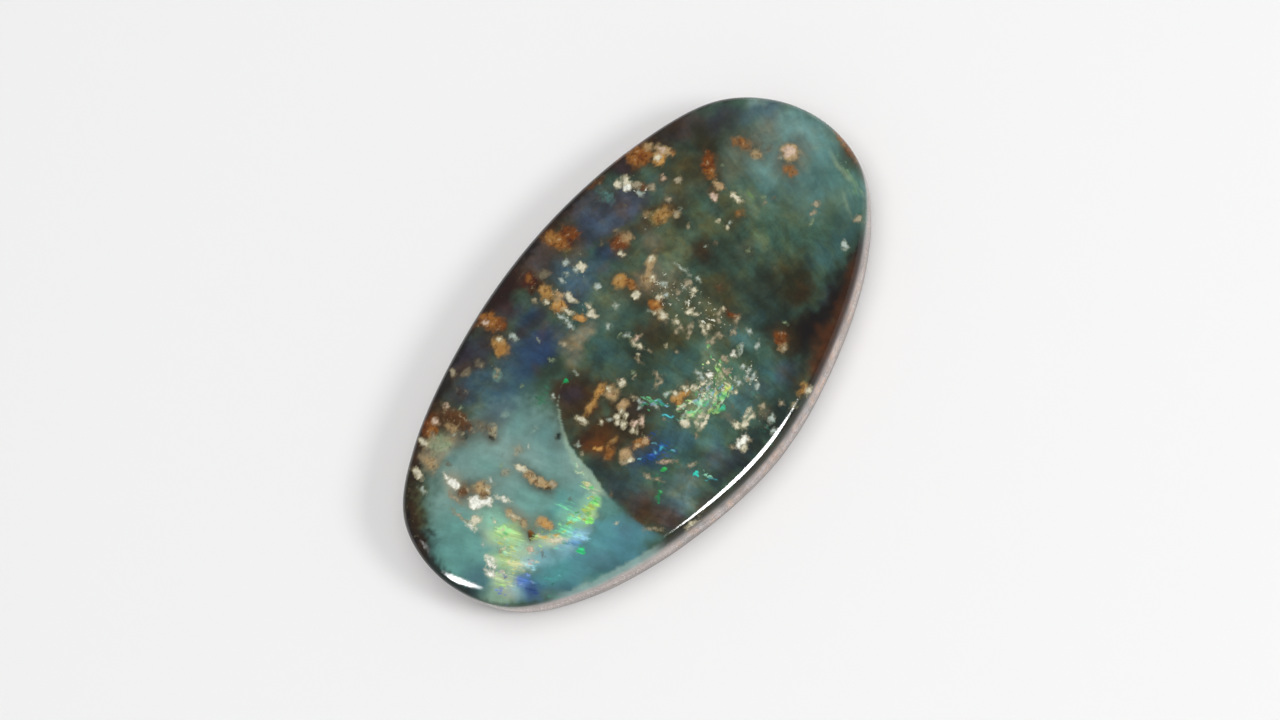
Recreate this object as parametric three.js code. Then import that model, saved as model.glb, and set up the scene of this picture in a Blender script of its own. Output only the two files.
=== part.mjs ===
// A polished boulder opal: one low-domed stone with a free-form oval outline, a rounded shoulder,
// a steep side wall and a flat back with a bevelled edge.
// Millimetres. +Z is up and the back lies on Z = 0. +X runs along the stone towards its blunter end.
import * as THREE from 'three';

// Outline of the girdle, the stone's widest place, seen from above and anticlockwise from the +X end
const girdleOutline = [
  [12.1, 0.0],
  [11.65, 2.5],
  [10.08, 4.6],
  [6.45, 6.13],
  [1.6, 6.9],
  [-3.4, 6.62],
  [-8.67, 5.19],
  [-11.28, 3.47],
  [-12.15, 0.8],
  [-11.5, -2.1],
  [-9.35, -4.1],
  [-5.3, -5.95],
  [0.0, -6.9],
  [4.5, -6.2],
  [8.9, -4.4],
  [11.4, -2.3],
];

// Heights above the back
const girdleHeight = 2.4;
const stoneHeight = 3.9;
const backBevelHeight = 0.35;

// Widths, measured in from the girdle
const wallLean = 0.28;
const backBevelWidth = 0.3;
const shoulderWidth = 0.55;
const shoulderRise = 0.55;

// The shoulder rolls over more softly round the narrow -X end, below its far (+Y) side
const softShoulderWidth = 1.7;
const softEndStart = -7.0;
const softEndFull = -11.5;
const softSideFull = 1.0;
const softSideEnd = 3.0;

// Mesh fineness
const columns = 120;
const domeRows = 12;
const shoulderRows = 8;
const wallRows = 3;
const backRows = 4;

const stoneColour = 0x3f4a48;
const polishRoughness = 0.12;

const outlineCurve = new THREE.CatmullRomCurve3(
  girdleOutline.map(([x, y]) => new THREE.Vector3(x, y, 0)),
  true,
  'centripetal',
);
const girdle = outlineCurve.getSpacedPoints(columns);

// Share of the soft shoulder at a place on the girdle
function softness(x, y) {
  const atEnd = THREE.MathUtils.smoothstep(-x, -softEndStart, -softEndFull);
  return atEnd * (1 - THREE.MathUtils.smoothstep(y, softSideFull, softSideEnd));
}

// The section from the middle of the back, round the edge and up to the middle of the dome.
// Each row gives its inset from the girdle and its height for one column.
function backRow(share) {
  return (reach) => {
    const edge = reach - wallLean - backBevelWidth;
    return { inset: reach - edge * share, height: 0 };
  };
}

function wallRow(share) {
  const height = THREE.MathUtils.lerp(backBevelHeight, girdleHeight, share);
  return () => ({ inset: wallLean * (1 - share) ** 2, height });
}

// The angle round the shoulder's quarter ellipse at which it is as steep as the dome's edge
function shoulderEnd(reach, width) {
  const domeRise = stoneHeight - girdleHeight - shoulderRise;
  const domeSlope = (2 * domeRise) / (reach - width);
  return Math.atan((domeSlope * width) / shoulderRise);
}

function shoulderPoint(reach, width, share) {
  const turn = THREE.MathUtils.lerp(Math.PI / 2, shoulderEnd(reach, width), share);
  return { inset: width * (1 - Math.sin(turn)), height: girdleHeight + shoulderRise * Math.cos(turn) };
}

function shoulderRow(share) {
  return (reach, width) => shoulderPoint(reach, width, share);
}

function domeRow(share) {
  return (reach, width) => {
    const edge = shoulderPoint(reach, width, 1);
    return {
      inset: reach - (reach - edge.inset) * (1 - share),
      height: stoneHeight - (stoneHeight - edge.height) * (1 - share) ** 2,
    };
  };
}

function rowsOf(count, rowAt, first = 1) {
  return Array.from({ length: count - first + 1 }, (_, step) => rowAt((step + first) / count));
}

const rows = [
  ...rowsOf(backRows, backRow, 0),
  ...rowsOf(wallRows, wallRow, 0),
  ...rowsOf(shoulderRows, shoulderRow),
  ...rowsOf(domeRows, domeRow),
];

// A lathe of the mean section gives the closed mesh, and each of its columns is then drawn out
// to its own place on the girdle.
function makeStone() {
  const meanReach = girdle.reduce((sum, point) => sum + point.length(), 0) / girdle.length;
  const section = rows.map((row) => {
    const { inset, height } = row(meanReach, shoulderWidth);
    return new THREE.Vector2(Math.max(meanReach - inset, 0), height);
  });
  const geometry = new THREE.LatheGeometry(section, columns);
  const places = geometry.attributes.position;
  for (let index = 0; index < places.count; index += 1) {
    const edge = girdle[Math.floor(index / rows.length)];
    const reach = edge.length();
    const width = THREE.MathUtils.lerp(shoulderWidth, softShoulderWidth, softness(edge.x, edge.y));
    const { inset, height } = rows[index % rows.length](reach, width);
    const share = Math.max(reach - inset, 0) / reach;
    places.setXYZ(index, edge.x * share, edge.y * share, height);
  }
  geometry.deleteAttribute('normal');
  geometry.deleteAttribute('uv');
  geometry.computeBoundingBox();
  const middle = geometry.boundingBox.getCenter(new THREE.Vector3());
  geometry.translate(-middle.x, -middle.y, 0);
  geometry.computeVertexNormals();
  return geometry;
}

const stone = new THREE.Mesh(
  makeStone(),
  new THREE.MeshStandardMaterial({ color: stoneColour, roughness: polishRoughness, metalness: 0 }),
);
stone.name = 'boulder_opal';

const group = new THREE.Group();
group.add(stone);

export default group;
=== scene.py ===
# A polished boulder opal lying on a plain pale floor.
# The stone is one fine mesh that follows the imported solid. Its pattern is laid out in
# millimetres on the domed face and stored in the mesh as fields, which the material then sharpens
# and breaks up with noise.
import math

import bpy
import numpy as np
from mathutils import Matrix, Vector


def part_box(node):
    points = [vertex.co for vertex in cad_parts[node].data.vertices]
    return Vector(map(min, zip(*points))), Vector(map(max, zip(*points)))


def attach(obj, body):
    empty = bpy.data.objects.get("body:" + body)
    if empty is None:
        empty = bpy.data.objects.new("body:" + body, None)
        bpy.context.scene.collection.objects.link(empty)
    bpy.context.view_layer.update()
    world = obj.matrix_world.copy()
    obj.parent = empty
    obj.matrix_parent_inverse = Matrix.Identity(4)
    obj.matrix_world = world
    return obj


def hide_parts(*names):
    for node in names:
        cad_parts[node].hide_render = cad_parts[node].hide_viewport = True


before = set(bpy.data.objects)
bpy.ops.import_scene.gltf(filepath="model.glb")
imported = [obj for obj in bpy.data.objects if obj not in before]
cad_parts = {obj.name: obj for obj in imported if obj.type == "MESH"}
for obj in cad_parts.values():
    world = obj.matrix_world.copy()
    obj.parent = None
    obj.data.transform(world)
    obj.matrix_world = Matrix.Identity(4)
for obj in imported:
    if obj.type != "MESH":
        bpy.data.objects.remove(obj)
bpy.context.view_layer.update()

MM = 0.001
NODE = "boulder_opal"
SLOT = "opal_in_ironstone"

# Outline of the girdle in millimetres, seen from above and anticlockwise from the +X end
GIRDLE_OUTLINE = [
    (12.1, 0.0), (11.65, 2.5), (10.08, 4.6), (6.45, 6.13), (1.6, 6.9), (-3.4, 6.62),
    (-8.67, 5.19), (-11.28, 3.47), (-12.15, 0.8), (-11.5, -2.1), (-9.35, -4.1), (-5.3, -5.95),
    (0.0, -6.9), (4.5, -6.2), (8.9, -4.4), (11.4, -2.3),
]

# Section of the stone in millimetres
GIRDLE_HEIGHT = 2.4
BACK_BEVEL_HEIGHT = 0.35
WALL_LEAN = 0.28
BACK_BEVEL_WIDTH = 0.3
SHOULDER_WIDTH = 0.55
SHOULDER_RISE = 0.55
SOFT_SHOULDER_WIDTH = 1.7
SOFT_END_START = -7.0
SOFT_END_FULL = -11.5
SOFT_SIDE_FULL = 1.0
SOFT_SIDE_END = 3.0
STONE_HEIGHT = (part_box(NODE)[1].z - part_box(NODE)[0].z) / MM

# Mesh fineness, and the angle in degrees from which an edge is drawn sharp
DOME_RINGS = 156
SHOULDER_RINGS = 10
WALL_RINGS = 6
BACK_RINGS = 4
SECTORS = 6
COLUMNS = SECTORS * DOME_RINGS
SHARP_ANGLE = 35


# Numeric helpers

def smoothstep(low, high, value):
    t = np.clip((value - low) / (high - low), 0, 1)
    return t * t * (3 - 2 * t)


def srgb(*levels):
    """Linear colour of an 8-bit display colour."""
    c = np.array(levels, float) / 255
    return np.where(c <= 0.04045, c / 12.92, ((c + 0.055) / 1.055) ** 2.4)


class Noise:
    """Smooth gradient noise on the plane, the same on every run."""

    CORNERS = 256
    GAIN = 1.6
    LAYERED_GAIN = 1.5
    LAYER_SHIFT = (17.3, -9.1)

    def __init__(self, seed):
        random = np.random.RandomState(seed)
        self.order = random.permutation(self.CORNERS)
        turn = random.uniform(0, 2 * math.pi, self.CORNERS)
        self.slopes = np.stack([np.cos(turn), np.sin(turn)], 1)

    def corner(self, column, row, dx, dy):
        pick = (self.order[column % self.CORNERS] + row) % self.CORNERS
        slope = self.slopes[self.order[pick]]
        return slope[:, 0] * dx + slope[:, 1] * dy

    def ease(self, t):
        return t ** 3 * (t * (6 * t - 15) + 10)

    def at(self, x, y):
        column, row = np.floor(x).astype(int), np.floor(y).astype(int)
        dx, dy = x - column, y - row
        across, up = self.ease(dx), self.ease(dy)
        low, high = (
            self.corner(column, row + step, dx, dy - step) * (1 - across)
            + self.corner(column + 1, row + step, dx - 1, dy - step) * across
            for step in (0, 1)
        )
        return (low * (1 - up) + high * up) * self.GAIN

    def layers(self, x, y, size, count=4):
        """Layered noise, about -1 to 1, whose largest lumps are size millimetres across."""
        total, weight, amount = 0.0, 0.0, 1.0
        shift_x, shift_y = self.LAYER_SHIFT
        for layer in range(count):
            scale = 2 ** layer / size
            total = total + amount * self.at(x * scale + shift_x * layer, y * scale + shift_y * layer)
            weight += amount
            amount *= 0.5
        return total / weight * self.LAYERED_GAIN


# Form of the stone

def outline_curve(points, steps=240):
    """A closed centripetal Catmull-Rom curve through the points."""
    p = np.array(points, float)
    runs = []
    for i in range(len(p)):
        a, b, c, d = (p[(i + k) % len(p)] for k in (-1, 0, 1, 2))
        gaps = [math.sqrt(np.linalg.norm(v - u)) for u, v in ((a, b), (b, c), (c, d))]
        leave = ((b - a) / gaps[0] - (c - a) / (gaps[0] + gaps[1]) + (c - b) / gaps[1]) * gaps[1]
        arrive = ((c - b) / gaps[1] - (d - b) / (gaps[1] + gaps[2]) + (d - c) / gaps[2]) * gaps[1]
        square = -3 * b + 3 * c - 2 * leave - arrive
        cube = 2 * b - 2 * c + leave + arrive
        t = np.linspace(0, 1, steps, endpoint=False)[:, None]
        runs.append(b + leave * t + square * t ** 2 + cube * t ** 3)
    return np.vstack(runs)


def evenly_spaced(curve, count):
    """Points at equal steps along a closed curve."""
    closed = np.vstack([curve, curve[:1]])
    run = np.concatenate([[0], np.cumsum(np.linalg.norm(np.diff(closed, axis=0), axis=1))])
    marks = np.linspace(0, run[-1], count, endpoint=False)
    return np.stack([np.interp(marks, run, closed[:, k]) for k in (0, 1)], 1)


def shoulder_width(girdle):
    """Width of the shoulder at each place on the girdle, wider round the near part of the -X end."""
    x, y = girdle.T
    soft = smoothstep(SOFT_END_START, SOFT_END_FULL, x) * (1 - smoothstep(SOFT_SIDE_FULL, SOFT_SIDE_END, y))
    return SHOULDER_WIDTH + (SOFT_SHOULDER_WIDTH - SHOULDER_WIDTH) * soft


def shoulder_point(reach, width, share):
    """Inset and height at a share of the way from the girdle to the dome's edge."""
    dome_rise = STONE_HEIGHT - GIRDLE_HEIGHT - SHOULDER_RISE
    end = np.arctan(2 * dome_rise / (reach - width) * width / SHOULDER_RISE)
    turn = math.pi / 2 + (end - math.pi / 2) * share
    return width * (1 - np.sin(turn)), GIRDLE_HEIGHT + SHOULDER_RISE * np.cos(turn)


def make_stone():
    """Places, distances in from the girdle and faces: dome, shoulder, side wall, bevel and back."""
    curve = outline_curve(GIRDLE_OUTLINE)
    middle = (curve.max(0) + curve.min(0)) / 2
    girdle = evenly_spaced(curve, COLUMNS)
    reach = np.linalg.norm(girdle, axis=1)
    edge_inset, edge_height = shoulder_point(reach, shoulder_width(girdle), 1)
    middle_inset = np.array([reach.min()])
    places = [np.array([[0, 0, STONE_HEIGHT]])]
    insets = [middle_inset]

    def add_ring(points, inset, height):
        span = np.linalg.norm(points, axis=1)
        flat = points * ((span - inset) / span)[:, None]
        places.append(np.column_stack([flat, np.broadcast_to(height, len(points))]))
        insets.append(np.broadcast_to(inset, len(points)))

    # The dome: its triangles stay even, because each ring has one more point in every sector
    for ring in range(1, DOME_RINGS + 1):
        share = ring / DOME_RINGS
        pick = np.arange(SECTORS * ring) * (DOME_RINGS / ring)
        low = np.floor(pick).astype(int) % COLUMNS
        high = (low + 1) % COLUMNS
        blend = pick - np.floor(pick)
        points = girdle[low] * (1 - blend[:, None]) + girdle[high] * blend[:, None]
        inset = edge_inset[low] * (1 - blend) + edge_inset[high] * blend
        edge = edge_height[low] * (1 - blend) + edge_height[high] * blend
        span = np.linalg.norm(points, axis=1)
        add_ring(points, span - (span - inset) * share, STONE_HEIGHT - (STONE_HEIGHT - edge) * share ** 2)

    # The shoulder, down to the girdle
    for ring in range(1, SHOULDER_RINGS + 1):
        inset, height = shoulder_point(reach, shoulder_width(girdle), 1 - ring / SHOULDER_RINGS)
        add_ring(girdle, inset, height)

    # The side wall, the bevel and the flat back
    for ring in range(1, WALL_RINGS + 1):
        share = ring / WALL_RINGS
        height = GIRDLE_HEIGHT + (BACK_BEVEL_HEIGHT - GIRDLE_HEIGHT) * share
        add_ring(girdle, WALL_LEAN * share ** 2, height)
    back_reach = reach - WALL_LEAN - BACK_BEVEL_WIDTH
    for ring in range(BACK_RINGS):
        add_ring(girdle, reach - back_reach * (1 - ring / BACK_RINGS), 0.0)
    places.append(np.array([[0, 0, 0]]))
    insets.append(middle_inset)

    faces = stone_faces([len(ring) for ring in places])
    places = np.vstack(places)
    places[:, :2] -= middle
    return places, np.concatenate(insets), faces


def stone_faces(sizes):
    """Triangles over the dome, bands round the shoulder, wall and back, and a fan in the middle."""
    ends = np.cumsum(sizes).tolist()
    rings = [list(range(end - size, end)) for end, size in zip(ends, sizes)]
    faces = []
    for ring in range(DOME_RINGS):
        inner, outer = rings[ring], rings[ring + 1]
        for sector in range(SECTORS):
            for step in range(ring + 1):
                a = outer[(sector * (ring + 1) + step) % len(outer)]
                b = outer[(sector * (ring + 1) + step + 1) % len(outer)]
                c = inner[(sector * ring + step) % len(inner)]
                faces.append((a, b, c))
                if step < ring:
                    faces.append((c, b, inner[(sector * ring + step + 1) % len(inner)]))
    for upper, lower in zip(rings[DOME_RINGS:-2], rings[DOME_RINGS + 1:-1]):
        faces.extend(zip(upper, lower, np.roll(lower, -1), np.roll(upper, -1)))
    last, back_middle = rings[-2], rings[-1][0]
    for a, b in zip(last, np.roll(last, -1)):
        faces.append((a, back_middle, b))
    return faces


# Inks: display colours, as they look under the scene's even white light
INKS = {
    "milky_teal": (124, 158, 150),
    "pale_teal": (142, 172, 164),
    "aqua": (100, 154, 146),
    "lagoon": (90, 148, 152),
    "teal": (88, 132, 132),
    "deep_teal": (60, 90, 90),
    "steel": (64, 92, 106),
    "strip_blue": (82, 134, 146),
    "sea_green": (68, 94, 80),
    "turquoise": (78, 152, 148),
    "blue_grey": (78, 100, 114),
    "slate": (68, 76, 90),
    "dusk": (58, 60, 68),
    "navy": (46, 66, 90),
    "deep_blue": (48, 66, 104),
    "violet": (58, 50, 64),
    "mauve": (84, 72, 70),
    "fern": (94, 112, 90),
    "grey_green": (82, 90, 76),
    "moss": (80, 84, 58),
    "olive": (70, 70, 48),
    "dark_green": (52, 64, 54),
    "shade": (50, 58, 50),
    "night_green": (42, 54, 52),
    "olive_black": (46, 44, 34),
    "brown_black": (36, 28, 22),
    "deep_umber": (48, 32, 18),
    "umber": (68, 50, 28),
    "ember": (68, 45, 0),
    "brown": (98, 66, 44),
    "red_brown": (78, 40, 12),
    "plum_brown": (70, 62, 60),
    "taupe": (116, 106, 90),
    "beige": (160, 150, 126),
    "tan": (178, 150, 112),
    "gold": (172, 130, 76),
    "rust": (150, 98, 50),
    "dark_rust": (118, 66, 28),
    "orange": (196, 146, 84),
    "cream": (216, 210, 184),
    "pink_cream": (204, 180, 160),
    "white": (240, 240, 228),
    "ice": (176, 190, 182),
    "sage": (150, 172, 140),
    "cream_glow": (172, 200, 170),
    "lime_milk": (178, 216, 152),
    "mint": (144, 200, 170),
    "sky_milk": (140, 188, 204),
    "blue_glow": (90, 128, 196),
    "ink_blue": (60, 84, 128),
}

# The ground of the pattern: ink, middle x and y, length and width in millimetres, turn in degrees
# from +X, strength, and how much of the patch is soft edge. Later patches lie over earlier ones.
GROUND = [
    # the dark border along the far side
    ("brown_black", 0.0, 7.2, 22.0, 2.4, 0, 0.95, 0.7),
    ("brown_black", -10.0, 4.7, 5.0, 1.7, 40, 0.95, 0.6),
    ("deep_umber", -1.4, 6.2, 2.8, 1.3, 0, 0.95, 0.7),
    ("plum_brown", -5.0, 5.7, 2.2, 1.2, 10, 0.9, 0.8),
    ("dusk", -4.2, 5.4, 2.0, 1.6, 0, 0.9, 0.8),
    ("brown_black", -6.2, 5.6, 2.4, 0.9, 12, 0.8, 0.9),
    ("dusk", -3.1, 5.3, 1.4, 1.0, 0, 0.6, 1.0),
    ("violet", -4.4, 6.0, 1.0, 0.8, 0, 0.7, 0.8),
    ("dusk", -3.7, 5.5, 0.8, 0.9, 0, 0.6, 0.9),
    ("violet", -2.1, 5.6, 0.8, 1.0, 0, 0.8, 0.8),
    ("mauve", 0.5, 5.9, 1.9, 1.5, 0, 0.85, 0.8),
    ("deep_umber", 2.6, 6.5, 2.0, 0.8, -5, 0.8, 0.8),
    ("plum_brown", 2.9, 6.0, 1.2, 0.7, 0, 0.6, 0.9),
    ("brown", 3.0, 6.1, 0.6, 0.5, 0, 0.35, 1.0),
    ("dusk", 3.6, 6.0, 1.4, 0.8, 0, 0.8, 0.9),
    ("deep_umber", 5.9, 5.6, 1.6, 1.4, -20, 0.85, 0.8),
    ("violet", 5.6, 5.9, 0.8, 1.0, 0, 0.7, 0.9),
    ("brown_black", 7.9, 5.2, 2.4, 1.4, -28, 0.9, 0.7),
    ("plum_brown", 8.6, 4.6, 2.4, 1.8, -25, 0.85, 0.8),
    ("olive_black", 8.5, 3.6, 2.2, 1.6, -20, 0.9, 0.8),
    ("dusk", 9.7, 3.6, 1.6, 1.3, -30, 0.9, 0.8),
    ("umber", 8.2, 5.05, 0.9, 0.5, -20, 0.5, 0.9),
    # slate, steel and navy below it
    ("slate", 3.2, 5.2, 2.6, 1.6, 0, 0.95, 0.8),
    ("slate", 3.6, 4.5, 2.8, 1.4, -5, 0.95, 0.8),
    ("blue_grey", 3.3, 4.6, 1.0, 0.7, 0, 0.35, 1.0),
    ("navy", 2.9, 5.2, 0.8, 0.7, 0, 0.35, 1.0),
    ("steel", 2.6, 4.9, 0.7, 0.6, 0, 0.4, 1.0),
    ("slate", 2.3, 4.8, 1.2, 0.8, 0, 0.5, 0.9),
    ("slate", 4.6, 4.3, 1.8, 1.5, 0, 0.85, 0.9),
    ("mauve", 4.4, 4.6, 0.8, 0.7, 0, 0.45, 1.0),
    ("steel", 0.8, 4.7, 1.3, 1.2, 0, 0.8, 0.9),
    ("slate", 0.4, 3.6, 1.6, 1.6, 0, 0.85, 0.9),
    ("blue_grey", 0.7, 3.7, 1.0, 1.4, 0, 0.75, 0.9),
    ("steel", 1.5, 3.5, 0.9, 1.4, -15, 0.7, 0.9),
    ("mauve", 1.75, 3.3, 0.7, 0.5, 0, 0.45, 1.0),
    ("taupe", 1.5, 4.8, 1.0, 1.1, 0, 0.55, 1.0),
    ("blue_grey", 1.5, 3.9, 0.9, 0.9, 0, 0.4, 1.0),
    ("navy", 2.35, 3.65, 1.0, 0.9, 0, 0.9, 0.9),
    ("dusk", 2.6, 3.1, 0.8, 0.8, 0, 0.6, 1.0),
    ("steel", -5.2, 4.4, 1.8, 1.4, 0, 0.95, 0.8),
    ("dusk", -5.9, 4.9, 1.1, 1.0, 0, 0.7, 0.9),
    ("navy", -5.8, 4.2, 0.8, 0.8, 0, 0.35, 1.0),
    ("steel", -4.7, 3.2, 2.4, 1.9, 0, 0.95, 0.8),
    ("teal", -4.1, 3.6, 0.5, 0.9, 0, 0.5, 1.0),
    ("steel", -3.5, 3.7, 1.6, 1.4, 0, 0.9, 0.8),
    ("deep_blue", -2.3, 3.2, 1.9, 1.4, 0, 0.9, 0.8),
    ("navy", -3.1, 3.2, 1.6, 1.2, 0, 0.7, 0.9),
    ("dusk", -1.6, 4.4, 1.6, 1.3, 0, 0.9, 0.8),
    ("navy", -1.7, 4.7, 0.9, 0.7, 0, 0.7, 0.9),
    ("slate", -2.9, 4.4, 0.9, 0.9, 0, 0.6, 1.0),
    ("violet", -2.35, 4.25, 0.6, 0.7, 0, 0.7, 0.9),
    ("mauve", -1.7, 3.6, 0.9, 0.5, 20, 0.5, 1.0),
    ("slate", -1.4, 3.0, 1.0, 1.0, 0, 0.7, 0.9),
    ("slate", -1.7, 5.2, 0.7, 0.5, 0, 0.7, 1.0),
    ("dark_green", -2.7, 2.4, 2.0, 1.1, 0, 0.85, 0.9),
    ("plum_brown", -3.15, 2.75, 0.4, 0.8, -25, 0.5, 1.0),
    ("deep_teal", -0.2, 2.6, 1.6, 1.4, 0, 0.6, 1.0),
    # the grey-green middle
    ("grey_green", 4.0, 3.1, 1.9, 1.3, 0, 0.9, 0.8),
    ("olive", 3.0, 2.6, 1.0, 0.7, 30, 0.45, 0.9),
    ("fern", 3.1, 2.4, 1.0, 0.9, 0, 0.45, 1.0),
    ("grey_green", 6.4, 3.1, 2.6, 1.4, 0, 0.9, 0.8),
    ("umber", 4.9, 2.7, 1.8, 1.4, 0, 0.45, 1.0),
    ("brown", 5.0, 2.8, 1.3, 1.0, 0, 0.5, 1.0),
    ("umber", 7.4, 2.4, 1.4, 1.8, 20, 0.4, 1.0),
    ("olive_black", 9.0, 2.6, 1.5, 1.2, 0, 0.6, 1.0),
    ("umber", 9.6, 2.2, 1.2, 1.2, 0, 0.4, 1.0),
    ("olive_black", 9.7, 3.3, 1.2, 0.7, -30, 0.6, 1.0),
    ("olive", 6.9, 3.2, 1.6, 1.6, 0, 0.8, 0.9),
    ("deep_teal", 5.9, 3.9, 1.0, 0.9, 0, 0.6, 0.9),
    ("olive", 5.9, 2.4, 1.2, 0.9, 0, 0.55, 0.9),
    ("grey_green", 8.4, 1.8, 2.2, 1.8, 0, 0.9, 0.8),
    ("fern", 4.0, 1.2, 1.8, 1.2, 0, 0.9, 0.8),
    ("fern", 2.9, 0.7, 1.8, 1.8, 0, 0.8, 0.9),
    ("grey_green", 1.2, 2.0, 2.4, 1.6, 0, 0.6, 1.0),
    ("deep_teal", 0.4, 1.6, 1.4, 1.2, 0, 0.7, 0.9),
    ("dark_green", 1.4, 1.0, 1.0, 0.8, 0, 0.8, 0.9),
    ("deep_teal", 0.6, 0.9, 1.2, 1.0, 0, 0.45, 1.0),
    ("dark_green", -0.2, 0.8, 3.0, 1.4, 0, 0.6, 0.9),
    ("deep_teal", -0.9, 0.9, 1.3, 1.2, 0, 0.7, 0.9),
    ("dark_green", -0.5, -0.7, 2.6, 2.0, 0, 0.85, 0.8),
    ("deep_teal", -0.7, 0.0, 0.8, 0.9, 0, 0.5, 1.0),
    ("olive_black", -0.2, -0.4, 0.7, 0.8, 0, 0.4, 1.0),
    ("moss", 5.8, 0.9, 2.4, 1.4, 15, 0.6, 0.9),
    ("fern", 7.5, 0.3, 1.0, 1.6, 10, 0.8, 0.9),
    ("dark_green", 5.4, -0.6, 2.6, 1.9, 0, 0.85, 0.8),
    ("olive", 6.4, 0.3, 1.1, 1.0, 0, 0.7, 0.9),
    ("deep_teal", 6.4, 1.2, 0.6, 0.7, 0, 0.5, 1.0),
    ("grey_green", 6.0, -0.95, 0.9, 0.7, 20, 0.6, 1.0),
    ("olive", 3.8, -1.2, 1.9, 2.0, 0, 0.85, 0.8),
    ("moss", 2.7, -1.4, 1.6, 3.0, 0, 0.75, 0.9),
    ("fern", 2.9, -0.2, 1.2, 1.2, 0, 0.5, 1.0),
    ("shade", 5.1, -2.4, 2.6, 1.8, 0, 0.95, 0.8),
    ("olive_black", 6.1, -3.5, 2.8, 1.7, 10, 0.95, 0.8),
    ("umber", 6.0, -3.9, 1.2, 0.7, 10, 0.35, 1.0),
    ("night_green", 4.4, -3.7, 2.0, 2.1, 0, 0.95, 0.8),
    ("olive_black", 4.2, -4.5, 1.4, 1.0, 0, 0.6, 1.0),
    ("shade", 2.9, -3.0, 1.6, 2.0, 0, 0.5, 1.0),
    ("dark_green", 1.0, -1.7, 2.4, 1.4, 0, 0.5, 1.0),
    ("night_green", -0.9, -2.6, 1.2, 1.4, 0, 0.45, 1.0),
    ("deep_teal", 4.0, -3.2, 0.7, 0.7, 0, 0.35, 1.0),
    ("shade", 6.7, -4.85, 2.8, 0.8, 18, 0.85, 0.8),
    ("slate", 6.5, -4.7, 0.9, 0.5, 10, 0.4, 1.0),
    ("moss", 6.6, -2.7, 1.3, 0.9, 0, 0.55, 1.0),
    ("deep_teal", 7.7, -3.7, 1.4, 1.4, 0, 0.75, 0.9),
    ("deep_teal", 9.0, -3.6, 1.8, 0.9, 25, 0.85, 0.9),
    ("dark_green", 8.9, -4.1, 1.6, 0.5, 28, 0.6, 0.9),
    # the teal right-hand end
    ("fern", 8.6, -1.2, 2.0, 1.6, 0, 0.55, 0.9),
    ("teal", 9.9, -1.4, 2.6, 2.6, 0, 0.55, 0.9),
    ("fern", 9.9, -2.4, 2.0, 1.4, 20, 0.6, 0.9),
    ("deep_teal", 8.4, -0.3, 1.2, 1.0, 0, 0.35, 1.0),
    ("teal", 9.2, 0.6, 1.6, 1.7, 0, 0.75, 0.9),
    ("teal", 11.1, 0.5, 2.3, 3.4, 5, 0.95, 0.8),
    ("pale_teal", 11.3, 1.0, 1.0, 1.9, 10, 0.35, 1.0),
    ("milky_teal", 10.4, 0.6, 4.4, 4.4, 0, 0.42, 1.0),
    ("milky_teal", 9.4, 0.9, 1.6, 1.6, 0, 0.4, 1.0),
    ("deep_teal", 10.2, -1.2, 2.0, 1.8, 0, 0.45, 1.0),
    ("teal", 10.4, -2.9, 1.8, 1.0, 30, 0.5, 1.0),
    ("taupe", 10.2, 0.3, 1.6, 1.4, 0, 0.4, 1.0),
    ("blue_grey", 11.1, 2.4, 1.0, 1.2, 30, 0.7, 0.9),
    ("blue_grey", 10.4, 2.8, 1.1, 0.8, 0, 0.6, 1.0),
    ("taupe", 10.5, 1.8, 1.2, 1.0, 0, 0.5, 1.0),
    ("pale_teal", 11.0, 3.0, 0.5, 0.9, 50, 0.45, 1.0),
    ("teal", 9.6, 1.0, 0.6, 0.8, 0, 0.4, 1.0),
    ("aqua", 10.6, -2.1, 0.9, 1.6, 20, 0.3, 1.0),
    ("sage", 10.9, -2.0, 0.22, 2.2, -16, 0.45, 0.9),
    ("sage", 9.9, -2.9, 0.16, 1.3, -30, 0.3, 1.0),
    # the lower middle
    ("grey_green", -1.2, -2.0, 1.0, 1.6, 0, 0.6, 0.9),
    ("deep_teal", 0.5, -2.2, 2.2, 1.4, 0, 0.5, 1.0),
    ("fern", 0.6, -3.3, 2.6, 1.4, 0, 0.5, 1.0),
    ("deep_teal", -1.8, -3.8, 1.6, 2.2, 0, 0.9, 0.8),
    ("steel", -1.7, -3.8, 0.8, 1.2, 0, 0.4, 1.0),
    ("teal", -0.9, -4.9, 1.2, 1.2, 0, 0.45, 1.0),
    ("teal", 0.9, -4.8, 1.7, 1.2, 0, 0.6, 1.0),
    ("deep_teal", 2.4, -5.1, 1.7, 1.5, 0, 0.9, 0.8),
    ("turquoise", 2.5, -5.0, 0.5, 0.7, 0, 0.3, 1.0),
    ("slate", 3.1, -5.6, 1.1, 1.0, 0, 0.75, 0.9),
    ("night_green", -0.4, -6.3, 4.4, 0.9, 0, 0.95, 0.8),
    ("slate", -1.4, -5.4, 1.3, 1.0, 0, 0.7, 0.9),
    ("night_green", 1.4, -6.25, 2.4, 0.8, 8, 0.7, 1.0),
    ("teal", 3.1, -3.3, 0.9, 1.4, 0, 0.35, 1.0),
    # pale haze round the specks
    ("taupe", 2.6, 0.9, 1.7, 1.6, 10, 0.36, 1.0),
    ("beige", 2.5, 1.45, 1.4, 0.8, 25, 0.65, 1.0),
    ("fern", 0.3, -3.4, 2.8, 1.8, 0, 0.4, 1.0),
    ("sage", 0.2, -3.6, 2.2, 1.0, 0, 0.4, 1.0),
    ("sage", 1.6, -2.9, 0.6, 1.5, -30, 0.35, 1.0),
    ("dusk", 1.7, -4.9, 2.6, 1.1, 0, 0.4, 1.0),
    ("night_green", 1.4, -6.2, 4.4, 1.2, 5, 0.75, 1.0),
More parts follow.
